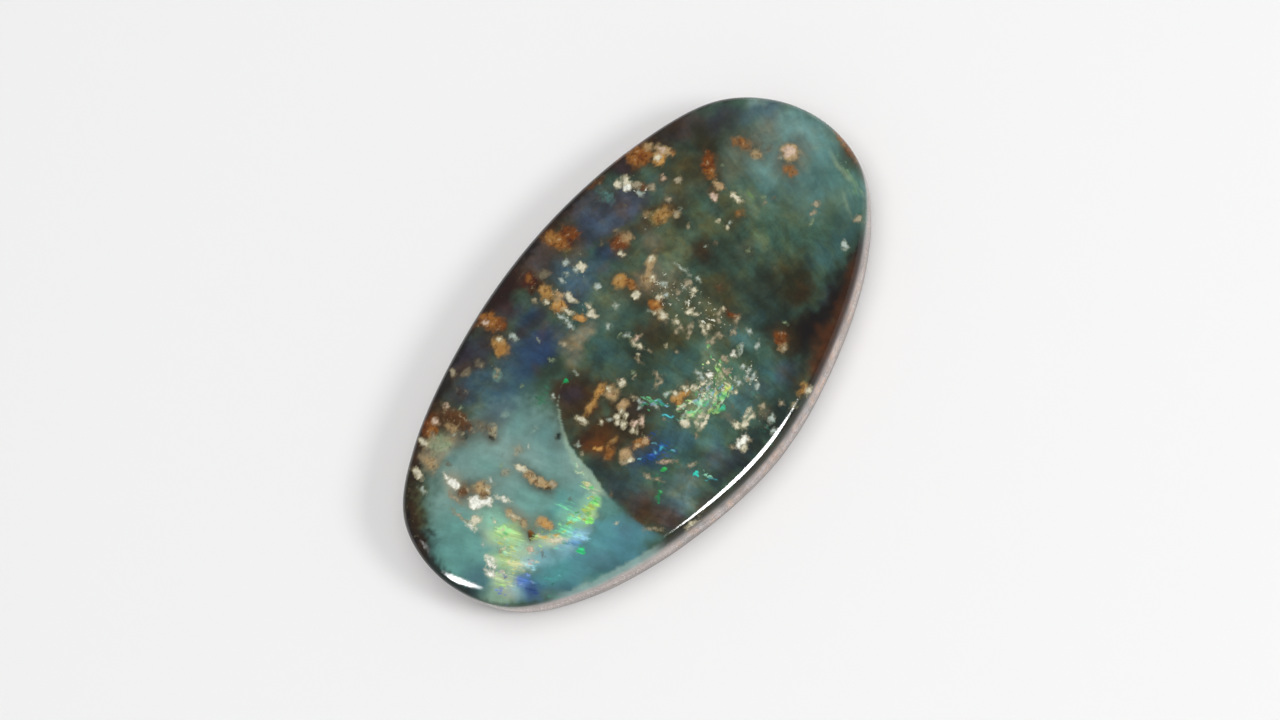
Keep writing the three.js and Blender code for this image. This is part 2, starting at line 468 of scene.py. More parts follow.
    ("dusk", -1.2, -6.1, 2.2, 0.9, 0, 0.5, 1.0),
    ("fern", 0.8, 2.0, 2.2, 1.8, 0, 0.5, 1.0),
    ("fern", 4.6, 1.6, 2.4, 1.6, 0, 0.5, 1.0),
    ("steel", 0.6, 4.2, 1.4, 2.4, 0, 0.4, 1.0),
    ("slate", -0.2, 5.4, 1.8, 1.4, 0, 0.4, 1.0),
    # the rusty corner of the near side
    ("olive_black", 4.4, -4.9, 1.8, 1.2, 0, 0.95, 0.8),
    ("brown_black", 5.8, -5.2, 4.4, 1.3, 12, 0.95, 0.7),
    ("brown_black", 5.0, -5.1, 3.0, 1.3, 12, 0.85, 0.9),
    ("ember", 5.0, -5.9, 2.3, 0.9, 12, 0.85, 0.9),
    ("dark_rust", 4.5, -6.15, 1.8, 0.3, 12, 0.35, 1.0),
    ("brown_black", 8.2, -4.75, 2.6, 0.5, 22, 0.8, 0.8),
    # the dark pocket beside the lobe
    ("umber", -2.9, 0.6, 2.6, 1.9, 20, 0.9, 0.7),
    ("brown_black", -2.7, 0.5, 1.6, 0.9, 10, 0.45, 1.0),
    ("violet", -3.0, 0.75, 1.0, 0.8, 0, 0.5, 1.0),
    ("umber", -3.7, -1.2, 1.8, 1.7, 20, 0.95, 0.7),
    ("dark_rust", -3.95, -1.65, 1.2, 1.0, 20, 0.6, 0.9),
    ("umber", -2.6, -1.8, 2.4, 1.8, 0, 0.85, 0.8),
    ("olive_black", -2.3, -1.5, 1.7, 1.5, 0, 0.95, 0.8),
    ("brown", -3.8, -1.95, 0.9, 0.5, 20, 0.6, 0.9),
    ("deep_umber", -4.2, -0.8, 0.8, 1.0, 30, 0.5, 0.9),
    ("plum_brown", -1.8, -1.6, 1.0, 1.2, 0, 0.5, 1.0),
    ("umber", 1.0, -0.2, 1.3, 1.2, 0, 0.7, 0.9),
    ("olive", 1.1, -1.0, 1.9, 1.2, 0, 0.85, 0.8),
    ("olive_black", 0.8, -0.6, 0.9, 0.8, 0, 0.5, 1.0),
    ("dusk", -4.8, -3.0, 1.3, 2.4, 0, 0.75, 0.9),
    ("deep_teal", -4.5, -3.4, 0.9, 1.4, 0, 0.5, 1.0),
    ("night_green", -4.9, -2.0, 0.9, 1.6, 0, 0.75, 0.9),
    ("navy", -3.1, -3.4, 2.0, 1.3, -10, 0.8, 0.9),
    ("plum_brown", -4.7, -4.4, 1.4, 1.9, 0, 0.9, 0.8),
    ("umber", -4.9, -4.9, 1.2, 1.2, 0, 0.75, 0.8),
    ("mauve", -4.3, -5.5, 1.4, 1.0, 0, 0.85, 0.8),
    ("deep_umber", -4.5, -5.8, 1.2, 0.6, -10, 0.5, 1.0),
    ("blue_grey", -3.3, -5.2, 1.6, 1.3, 0, 0.8, 0.9),
    ("milky_teal", -3.2, -5.3, 1.3, 1.5, 0, 0.4, 1.0),
    ("fern", -3.3, -5.1, 0.8, 0.7, 0, 0.5, 1.0),
    ("brown_black", -3.6, -6.3, 2.6, 0.5, -8, 0.7, 0.9),
    ("brown_black", 4.65, 0.25, 1.0, 1.4, 10, 0.7, 0.9),
    ("umber", 4.8, 0.5, 0.9, 1.0, 0, 0.6, 1.0),
    ("olive_black", 5.2, 1.85, 0.8, 0.8, 0, 0.75, 0.9),
    ("moss", 6.8, 0.9, 1.0, 1.2, 10, 0.5, 0.9),
    ("fern", 6.6, -1.2, 0.5, 1.7, -20, 0.6, 1.0),
    ("moss", 4.2, 1.75, 1.3, 0.9, 0, 0.7, 0.9),
    ("taupe", -1.8, 1.75, 1.0, 0.7, 10, 0.5, 0.9),
    ("beige", -1.1, 2.15, 1.6, 0.8, -15, 0.6, 0.9),
    ("taupe", 3.8, 2.25, 0.8, 0.9, 0, 0.5, 0.9),
    ("grey_green", 2.8, -0.9, 1.8, 4.0, 0, 0.45, 1.0),
    ("night_green", 0.9, -3.1, 0.9, 0.6, 0, 0.35, 1.0),
    ("sage", -8.0, 4.2, 1.2, 1.2, 0, 0.6, 1.0),
    ("taupe", -3.2, -6.3, 1.4, 0.7, 0, 0.3, 1.0),
    ("brown_black", 3.3, -6.1, 1.6, 0.8, 8, 0.6, 1.0),
    ("brown_black", -7.2, 5.6, 1.4, 0.7, 20, 0.6, 1.0),
]

# The milky lobe at the left, over the ground
LOBE = [
    ("milky_teal", -7.6, 0.2, 7.2, 7.6, 0, 0.95, 0.35),
    ("aqua", -10.3, 0.5, 2.4, 3.4, 0, 0.85, 0.8),
    ("aqua", -7.1, -0.8, 2.6, 2.4, 0, 0.6, 0.9),
    ("aqua", -7.2, 2.0, 2.0, 1.4, 20, 0.4, 1.0),
    ("teal", -5.6, 0.8, 1.4, 3.0, 10, 0.45, 0.9),
    ("pale_teal", -8.2, 2.4, 1.2, 1.6, 0, 0.3, 1.0),
    ("blue_grey", -5.7, 2.9, 1.4, 1.0, 0, 0.6, 0.9),
    ("teal", -5.2, 2.1, 1.4, 1.0, 0, 0.4, 1.0),
    ("teal", -8.0, 3.3, 1.6, 1.2, 0, 0.5, 1.0),
    ("teal", -11.2, 1.5, 1.2, 1.6, 10, 0.4, 1.0),
    ("aqua", -11.4, -0.3, 1.8, 3.4, 8, 0.9, 0.8),
    ("teal", -11.1, -0.1, 0.8, 1.2, 0, 0.45, 1.0),
    ("steel", -11.3, -0.8, 1.2, 1.3, 0, 0.7, 1.0),
    ("teal", -4.9, 0.8, 0.9, 1.4, 0, 0.5, 1.0),
    ("cream_glow", -11.4, -1.9, 0.9, 1.2, 20, 0.45, 1.0),
    ("mint", -8.9, 0.4, 0.8, 1.5, 5, 0.4, 1.0),
    ("cream_glow", -9.4, 0.4, 0.5, 1.6, 10, 0.35, 1.0),
    ("beige", -8.2, -0.5, 0.5, 1.2, 10, 0.45, 1.0),
    ("beige", -9.2, 1.6, 0.5, 1.6, 0, 0.4, 1.0),
    ("beige", -8.7, 4.7, 1.0, 0.9, 0, 0.5, 1.0),
    ("milky_teal", -7.6, 3.2, 2.4, 1.2, 0, 0.6, 1.0),
    ("beige", -8.5, 4.1, 1.5, 1.0, 10, 0.6, 1.0),
    ("beige", -8.8, 2.5, 0.9, 1.2, 0, 0.7, 1.0),
    ("pale_teal", -6.4, 1.0, 1.6, 2.0, 0, 0.7, 1.0),
    ("beige", -7.9, 4.0, 1.5, 1.1, 0, 0.65, 1.0),
    ("pale_teal", -6.4, 2.3, 1.4, 1.2, 0, 0.6, 1.0),
    ("moss", -10.4, 3.2, 1.8, 0.8, 35, 0.6, 1.0),
    ("moss", -11.0, 2.9, 1.6, 0.9, 40, 0.75, 0.9),
    ("dark_green", -11.5, 2.2, 0.8, 1.4, -30, 0.7, 0.9),
    ("moss", -10.3, 3.5, 1.4, 0.8, 30, 0.6, 0.9),
    ("strip_blue", -8.6, -3.7, 3.6, 1.6, -28, 0.9, 0.7),
    ("lagoon", -6.7, -3.9, 2.2, 1.3, -10, 0.95, 0.7),
    ("lagoon", -8.9, -3.6, 2.6, 1.2, -30, 0.55, 1.0),
    ("lagoon", -8.4, -4.6, 3.0, 0.8, -28, 0.5, 1.0),
    ("pale_teal", -9.4, -4.3, 3.0, 0.5, -32, 0.35, 1.0),
    ("strip_blue", -6.3, -4.7, 2.6, 1.6, -15, 0.9, 0.8),
    ("blue_grey", -7.6, -4.3, 1.0, 0.7, -22, 0.4, 1.0),
    ("steel", -7.6, -4.85, 1.4, 0.5, -25, 0.5, 1.0),
    ("blue_grey", -6.0, -4.3, 0.7, 0.9, 0, 0.45, 1.0),
    ("aqua", -5.7, -3.3, 0.8, 1.2, 0, 0.6, 1.0),
    ("turquoise", -9.0, -3.3, 1.2, 0.9, 0, 0.5, 1.0),
    ("steel", -9.5, -3.7, 1.4, 0.6, -35, 0.6, 0.9),
    ("fern", -10.0, -3.4, 1.4, 0.4, -42, 0.4, 1.0),
    ("ink_blue", -10.1, -2.9, 1.1, 0.8, -40, 0.85, 0.8),
    ("turquoise", -8.2, -4.9, 1.4, 0.4, -25, 0.4, 1.0),
    # the glowing fan at its lower edge
    ("mint", -9.0, -0.1, 1.1, 1.0, 10, 0.55, 0.9),
    ("taupe", -9.6, -0.1, 0.6, 1.0, 0, 0.35, 1.0),
    ("cream_glow", -9.5, -0.4, 1.0, 0.9, -60, 0.5, 0.9),
    ("lime_milk", -9.05, -0.8, 1.3, 1.2, -60, 0.95, 0.8),
    ("lime_milk", -9.9, -1.35, 1.4, 0.9, -60, 0.7, 0.9),
    ("cream_glow", -10.7, -1.75, 1.3, 0.9, -60, 0.8, 0.8),
    ("cream_glow", -9.5, -1.7, 1.4, 1.1, -60, 0.85, 0.8),
    ("beige", -10.8, -2.1, 0.8, 0.6, -60, 0.5, 0.9),
    ("sky_milk", -9.4, -2.15, 0.8, 0.5, -60, 0.65, 0.9),
    ("lagoon", -8.9, -2.6, 1.2, 0.8, -60, 0.6, 0.9),
    ("cream_glow", -8.25, -2.2, 1.3, 0.6, -55, 0.75, 0.9),
    ("sky_milk", -10.5, -2.3, 0.9, 0.8, -60, 0.5, 1.0),
    ("blue_glow", -10.1, -2.35, 0.7, 0.45, -60, 0.8, 0.9),
    ("cream_glow", -8.5, -1.6, 1.6, 1.0, 0, 0.6, 1.0),
    ("sky_milk", -8.8, -2.4, 0.9, 0.7, -40, 0.45, 1.0),
    ("cream", -8.05, -2.35, 0.7, 0.5, -40, 0.4, 1.0),
    ("sky_milk", -8.0, -3.1, 1.0, 0.6, -20, 0.45, 1.0),
    ("mint", -7.3, -2.4, 1.7, 0.8, -10, 0.75, 0.9),
    ("sky_milk", -7.4, -3.05, 1.3, 0.55, -14, 0.85, 0.8),
    ("mint", -6.4, -2.6, 1.6, 0.8, 6, 0.8, 0.8),
    ("lime_milk", -6.2, -2.9, 1.1, 0.5, 12, 0.8, 0.9),
    ("mint", -5.4, -2.2, 0.5, 0.8, -10, 0.4, 0.9),
    ("sage", -5.45, -2.5, 0.5, 0.7, 0, 0.6, 0.9),
    ("turquoise", -6.9, -1.8, 2.0, 1.1, 0, 0.6, 1.0),
    ("mint", -7.0, -2.05, 1.0, 0.6, 0, 0.35, 1.0),
]

# The lobe's edge against the dark part, y and x, from its top to the near side
LOBE_EDGE = [
    (1.6, -2.6), (1.35, -3.05), (1.05, -3.6), (0.6, -4.0), (0.2, -4.28), (-0.3, -4.58), (-0.9, -4.82),
    (-1.5, -4.92), (-2.1, -5.02), (-2.7, -5.2), (-3.3, -5.3), (-4.0, -5.35), (-4.7, -5.38),
    (-5.3, -5.3), (-6.2, -4.9), (-7.0, -4.6),
]

# Tints along the girdle, and a painted dark reflection along the near side: ink, from and to in degrees
# anticlockwise from +X, width in millimetres, strength
RIM_TINTS_AND_PAINTED_REFLECTION = [
    ("brown_black", 140, 172, 0.8, 0.95),
    ("brown_black", 168, 186, 0.4, 0.9),
    ("brown_black", 40, 150, 0.45, 0.95),
    ("brown_black", 20, 45, 0.25, 0.8),
    ("dark_green", 184, 200, 0.1, 0.6),
    # The next two rows are painted dark reflection: a thin dark line along the near girdle for the dark
    # surroundings mirrored in the shoulder
    ("olive_black", -136, -70, 0.15, 0.9),
    ("brown_black", -68, -24, 0.2, 0.9),
    ("ember", -60, -28, 0.4, 0.8),
    ("pale_teal", -158, -134, 0.14, 0.7),
]

# Stains, in the same form as the ground
STAINS = [
    ("brown_black", -11.7, 2.6, 1.2, 0.7, 50, 0.8, 0.8),
    ("brown_black", -11.2, 3.3, 1.2, 0.7, 42, 0.9, 0.8),
    ("olive_black", -10.3, 4.2, 2.0, 0.8, 32, 0.9, 0.8),
    ("olive_black", -9.5, 4.9, 1.6, 0.7, 30, 0.8, 0.8),
    ("dark_rust", -7.6, 5.0, 1.0, 0.8, 0, 0.85, 0.8),
    ("rust", -7.7, 4.8, 0.7, 0.5, 0, 0.7, 0.8),
    ("brown", -6.75, 4.2, 0.8, 2.0, 8, 0.85, 0.9),
    ("umber", -7.1, 4.4, 0.9, 1.4, 10, 0.5, 1.0),
    ("taupe", -6.35, 3.1, 0.5, 0.9, 10, 0.6, 0.9),
    ("tan", -8.75, 4.0, 0.55, 1.1, -12, 0.6, 0.8),
    ("sage", -7.95, 4.1, 0.9, 1.0, 0, 0.5, 1.0),
    ("tan", -7.2, 4.1, 0.3, 0.8, 0, 0.6, 0.8),
    ("night_green", -7.08, 3.4, 0.28, 0.34, 0, 0.6, 0.9),
    ("taupe", -7.3, 3.4, 0.4, 0.7, 0, 0.4, 0.9),
    ("taupe", -8.75, 1.95, 0.6, 0.6, 0, 0.8, 0.8),
    ("brown", -8.9, 1.95, 0.5, 0.35, 0, 0.8, 0.8),
    ("tan", -8.3, 1.35, 0.7, 0.85, 0, 0.85, 0.7),
    ("taupe", -8.55, 1.65, 0.45, 0.4, 0, 0.7, 0.8),
    ("brown", -8.45, 1.1, 0.35, 0.35, 0, 0.6, 0.8),
    ("tan", -8.42, -0.4, 0.34, 0.9, -6, 0.7, 0.9),
    ("tan", -8.3, -0.95, 0.34, 0.6, -10, 0.6, 0.9),
    ("tan", -6.7, 0.05, 0.38, 1.0, 5, 0.9, 0.7),
    ("tan", -6.55, -0.6, 0.4, 1.0, 25, 0.95, 0.7),
    ("beige", -6.6, 0.0, 0.2, 1.2, 8, 0.5, 0.9),
    ("brown", -6.66, -0.42, 0.16, 0.26, 0, 0.8, 0.8),
    ("umber", -6.6, -0.88, 0.16, 0.3, 20, 0.9, 0.7),
    ("umber", -8.5, -1.5, 0.38, 0.36, 0, 0.9, 0.6),
    ("rust", -8.4, -1.45, 0.24, 0.3, 0, 0.5, 0.9),
    ("orange", -7.75, -1.7, 0.42, 0.75, 10, 0.8, 0.8),
    ("tan", -7.85, -1.45, 0.4, 0.4, 0, 0.5, 0.9),
    ("beige", -6.15, 2.55, 0.45, 0.45, 0, 0.9, 0.8),
    ("beige", -7.25, 1.0, 0.4, 0.5, 0, 0.5, 1.0),
    ("beige", -6.2, 1.1, 0.5, 0.5, 0, 0.6, 1.0),
    ("pale_teal", -5.1, 1.12, 0.4, 0.3, 0, 0.5, 1.0),
    ("pale_teal", -5.4, 2.6, 0.5, 0.4, 0, 0.4, 1.0),
    ("olive_black", -6.42, 2.45, 0.18, 0.32, 0, 0.7, 0.8),
    ("night_green", -4.72, 0.1, 0.42, 0.24, 20, 0.9, 0.6),
    ("plum_brown", -5.7, 4.75, 0.6, 0.7, 0, 0.6, 0.9),
    ("taupe", -5.0, 5.2, 0.5, 0.5, 0, 0.9, 0.7),
    ("taupe", -4.4, 5.0, 0.35, 0.7, 0, 0.5, 0.9),
    ("milky_teal", -4.3, 3.95, 0.5, 0.6, -10, 0.6, 0.9),
    ("gold", -3.35, 4.68, 0.72, 1.05, -18, 0.95, 0.5),
    ("rust", -3.4, 4.6, 0.4, 0.6, -18, 0.5, 0.8),
    ("rust", -2.75, 5.85, 0.75, 1.3, 12, 0.95, 0.6),
    ("dark_rust", -2.6, 5.35, 0.6, 0.6, 0, 0.7, 0.8),
    ("brown", -3.1, 6.2, 0.7, 0.35, -30, 0.6, 0.9),
    ("red_brown", -0.5, 5.6, 0.8, 1.1, 0, 0.85, 0.7),
    ("rust", -0.45, 5.7, 0.35, 0.45, 0, 0.7, 0.9),
    ("umber", -0.55, 5.2, 0.7, 0.4, 0, 0.7, 0.8),
    ("gold", -0.45, 4.65, 0.65, 0.8, -8, 0.9, 0.7),
    ("orange", -0.55, 3.78, 0.6, 0.6, 0, 0.8, 0.8),
    ("rust", -0.7, 3.7, 0.35, 0.35, 0, 0.5, 0.9),
    ("tan", -0.2, 4.1, 0.4, 0.6, 0, 0.7, 0.8),
    ("taupe", 0.15, 5.25, 0.7, 0.45, -20, 0.7, 0.8),
    ("rust", 1.5, 5.85, 0.75, 1.5, 4, 0.95, 0.6),
    ("gold", 1.45, 6.1, 0.4, 0.7, 4, 0.4, 0.9),
    ("dark_rust", 2.1, 5.6, 0.75, 1.0, 0, 0.9, 0.7),
    ("red_brown", 1.78, 5.3, 0.4, 0.4, 0, 0.7, 0.9),
    ("moss", 1.35, 5.05, 0.5, 0.5, 0, 0.5, 1.0),
    ("gold", 1.75, 2.3, 0.62, 0.7, 0, 0.95, 0.6),
    ("rust", 1.9, 1.8, 0.42, 0.7, 8, 0.75, 0.8),
    ("dark_rust", 3.0, 3.4, 0.9, 0.9, 0, 0.8, 0.7),
    ("tan", 3.35, 3.3, 0.5, 0.6, 0, 0.65, 0.8),
    ("taupe", 3.3, 3.85, 0.5, 0.35, 0, 0.6, 0.9),
    ("brown", 4.4, 6.2, 0.9, 0.4, -15, 0.7, 0.8),
    ("moss", 4.6, 6.5, 0.9, 0.4, -8, 0.6, 0.8),
    ("dark_rust", 6.2, 6.15, 2.4, 0.5, -20, 0.6, 0.9),
    ("teal", 4.2, 5.4, 0.5, 0.9, 0, 0.6, 0.9),
    ("rust", 6.35, 5.45, 1.1, 1.0, -35, 0.95, 0.6),
    ("dark_rust", 6.4, 5.35, 0.5, 0.5, 0, 0.75, 0.9),
    ("tan", 6.95, 5.3, 0.35, 0.8, 10, 0.6, 0.9),
    ("orange", 6.72, 4.6, 0.6, 0.65, 0, 0.95, 0.7),
    ("tan", 7.15, 4.7, 0.4, 0.9, 8, 0.85, 0.8),
    ("rust", 7.25, 4.3, 0.3, 0.4, 0, 0.5, 0.9),
    ("brown", 5.45, 4.35, 0.4, 0.7, 25, 0.75, 0.8),
    ("tan", 4.6, 3.3, 0.4, 0.7, 20, 0.45, 0.9),
    ("moss", 4.8, 2.9, 1.0, 0.8, 0, 0.8, 0.8),
    ("gold", 4.95, 2.75, 0.9, 0.7, 0, 0.8, 0.9),
    ("tan", 5.35, 2.3, 0.35, 0.4, 0, 0.7, 0.9),
    ("brown", 6.2, 3.85, 0.4, 0.5, 20, 0.5, 0.9),
    ("dark_rust", 7.8, 2.8, 1.2, 0.6, 42, 0.9, 0.7),
    ("rust", 7.45, 2.4, 0.4, 0.5, 0, 0.7, 0.8),
    ("rust", 9.3, 2.25, 0.5, 1.0, 0, 0.6, 0.9),
    ("taupe", 9.7, 1.85, 0.7, 0.7, 0, 0.4, 1.0),
    ("tan", 9.3, 1.45, 0.5, 0.6, 0, 0.6, 0.9),
    ("taupe", 9.75, 1.2, 0.5, 0.4, 0, 0.5, 0.9),
    ("rust", 9.62, -0.15, 0.5, 0.75, 10, 0.75, 0.8),
    ("tan", 10.2, 0.4, 0.75, 0.9, 0, 0.95, 0.6),
    ("rust", 11.95, -1.2, 0.5, 1.8, -14, 0.8, 0.8),
    ("brown", 11.7, -1.6, 0.4, 1.2, -20, 0.6, 0.9),
    ("tan", 3.0, 1.75, 1.2, 0.4, 28, 0.7, 0.8),
    ("tan", 2.45, 1.4, 0.7, 0.6, 20, 0.6, 0.8),
    ("taupe", 2.9, 0.7, 1.6, 1.4, 0, 0.3, 1.0),
    ("rust", 1.85, 0.4, 0.55, 0.65, 0, 0.95, 0.6),
    ("orange", 1.95, 0.42, 0.25, 0.3, 0, 0.6, 0.9),
    ("tan", 1.7, -0.1, 0.4, 0.55, 10, 0.6, 0.8),
    ("gold", -2.75, -0.15, 1.5, 0.38, 4, 0.85, 0.6),
    ("orange", -2.2, -0.05, 0.6, 0.35, 0, 0.6, 0.8),
    ("brown", -2.9, -0.36, 0.8, 0.14, 0, 0.5, 0.9),
    ("tan", -2.05, -0.55, 0.7, 0.6, 30, 0.8, 0.7),
    ("tan", -2.15, -1.2, 0.6, 0.4, -10, 0.7, 0.8),
    ("orange", -4.12, -1.55, 0.24, 0.42, 30, 0.9, 0.6),
    ("gold", -3.6, -1.85, 0.7, 0.25, -5, 0.5, 0.9),
    ("rust", -4.0, -2.05, 0.7, 0.4, 0, 0.6, 0.9),
    ("tan", -3.6, -2.65, 0.6, 0.6, -20, 0.8, 0.7),
    ("rust", -2.85, -2.75, 0.75, 0.45, -25, 0.85, 0.7),
    ("gold", -0.5, -2.8, 0.7, 0.5, 0, 0.85, 0.8),
    ("orange", -0.15, -2.9, 0.45, 0.25, -30, 0.7, 0.8),
    ("dark_rust", 3.5, -2.3, 0.35, 0.7, 20, 0.7, 0.9),
    ("dark_rust", 3.95, -4.4, 0.6, 0.6, 0, 0.75, 0.8),
    ("tan", 3.7, -4.72, 0.4, 0.4, 0, 0.7, 0.8),
    ("gold", 2.95, -6.42, 0.6, 0.3, 8, 0.8, 0.8),
    ("rust", 6.95, 0.3, 0.4, 0.5, 0, 0.5, 0.9),
    ("brown", 6.95, 1.75, 0.5, 0.7, -10, 0.5, 0.9),
    ("brown", 4.1, -1.2, 0.5, 0.5, 0, 0.4, 1.0),
    ("taupe", 1.2, -5.8, 0.7, 0.5, 0, 0.4, 1.0),
    ("taupe", 0.1, -4.8, 0.4, 0.7, 0, 0.4, 1.0),
]

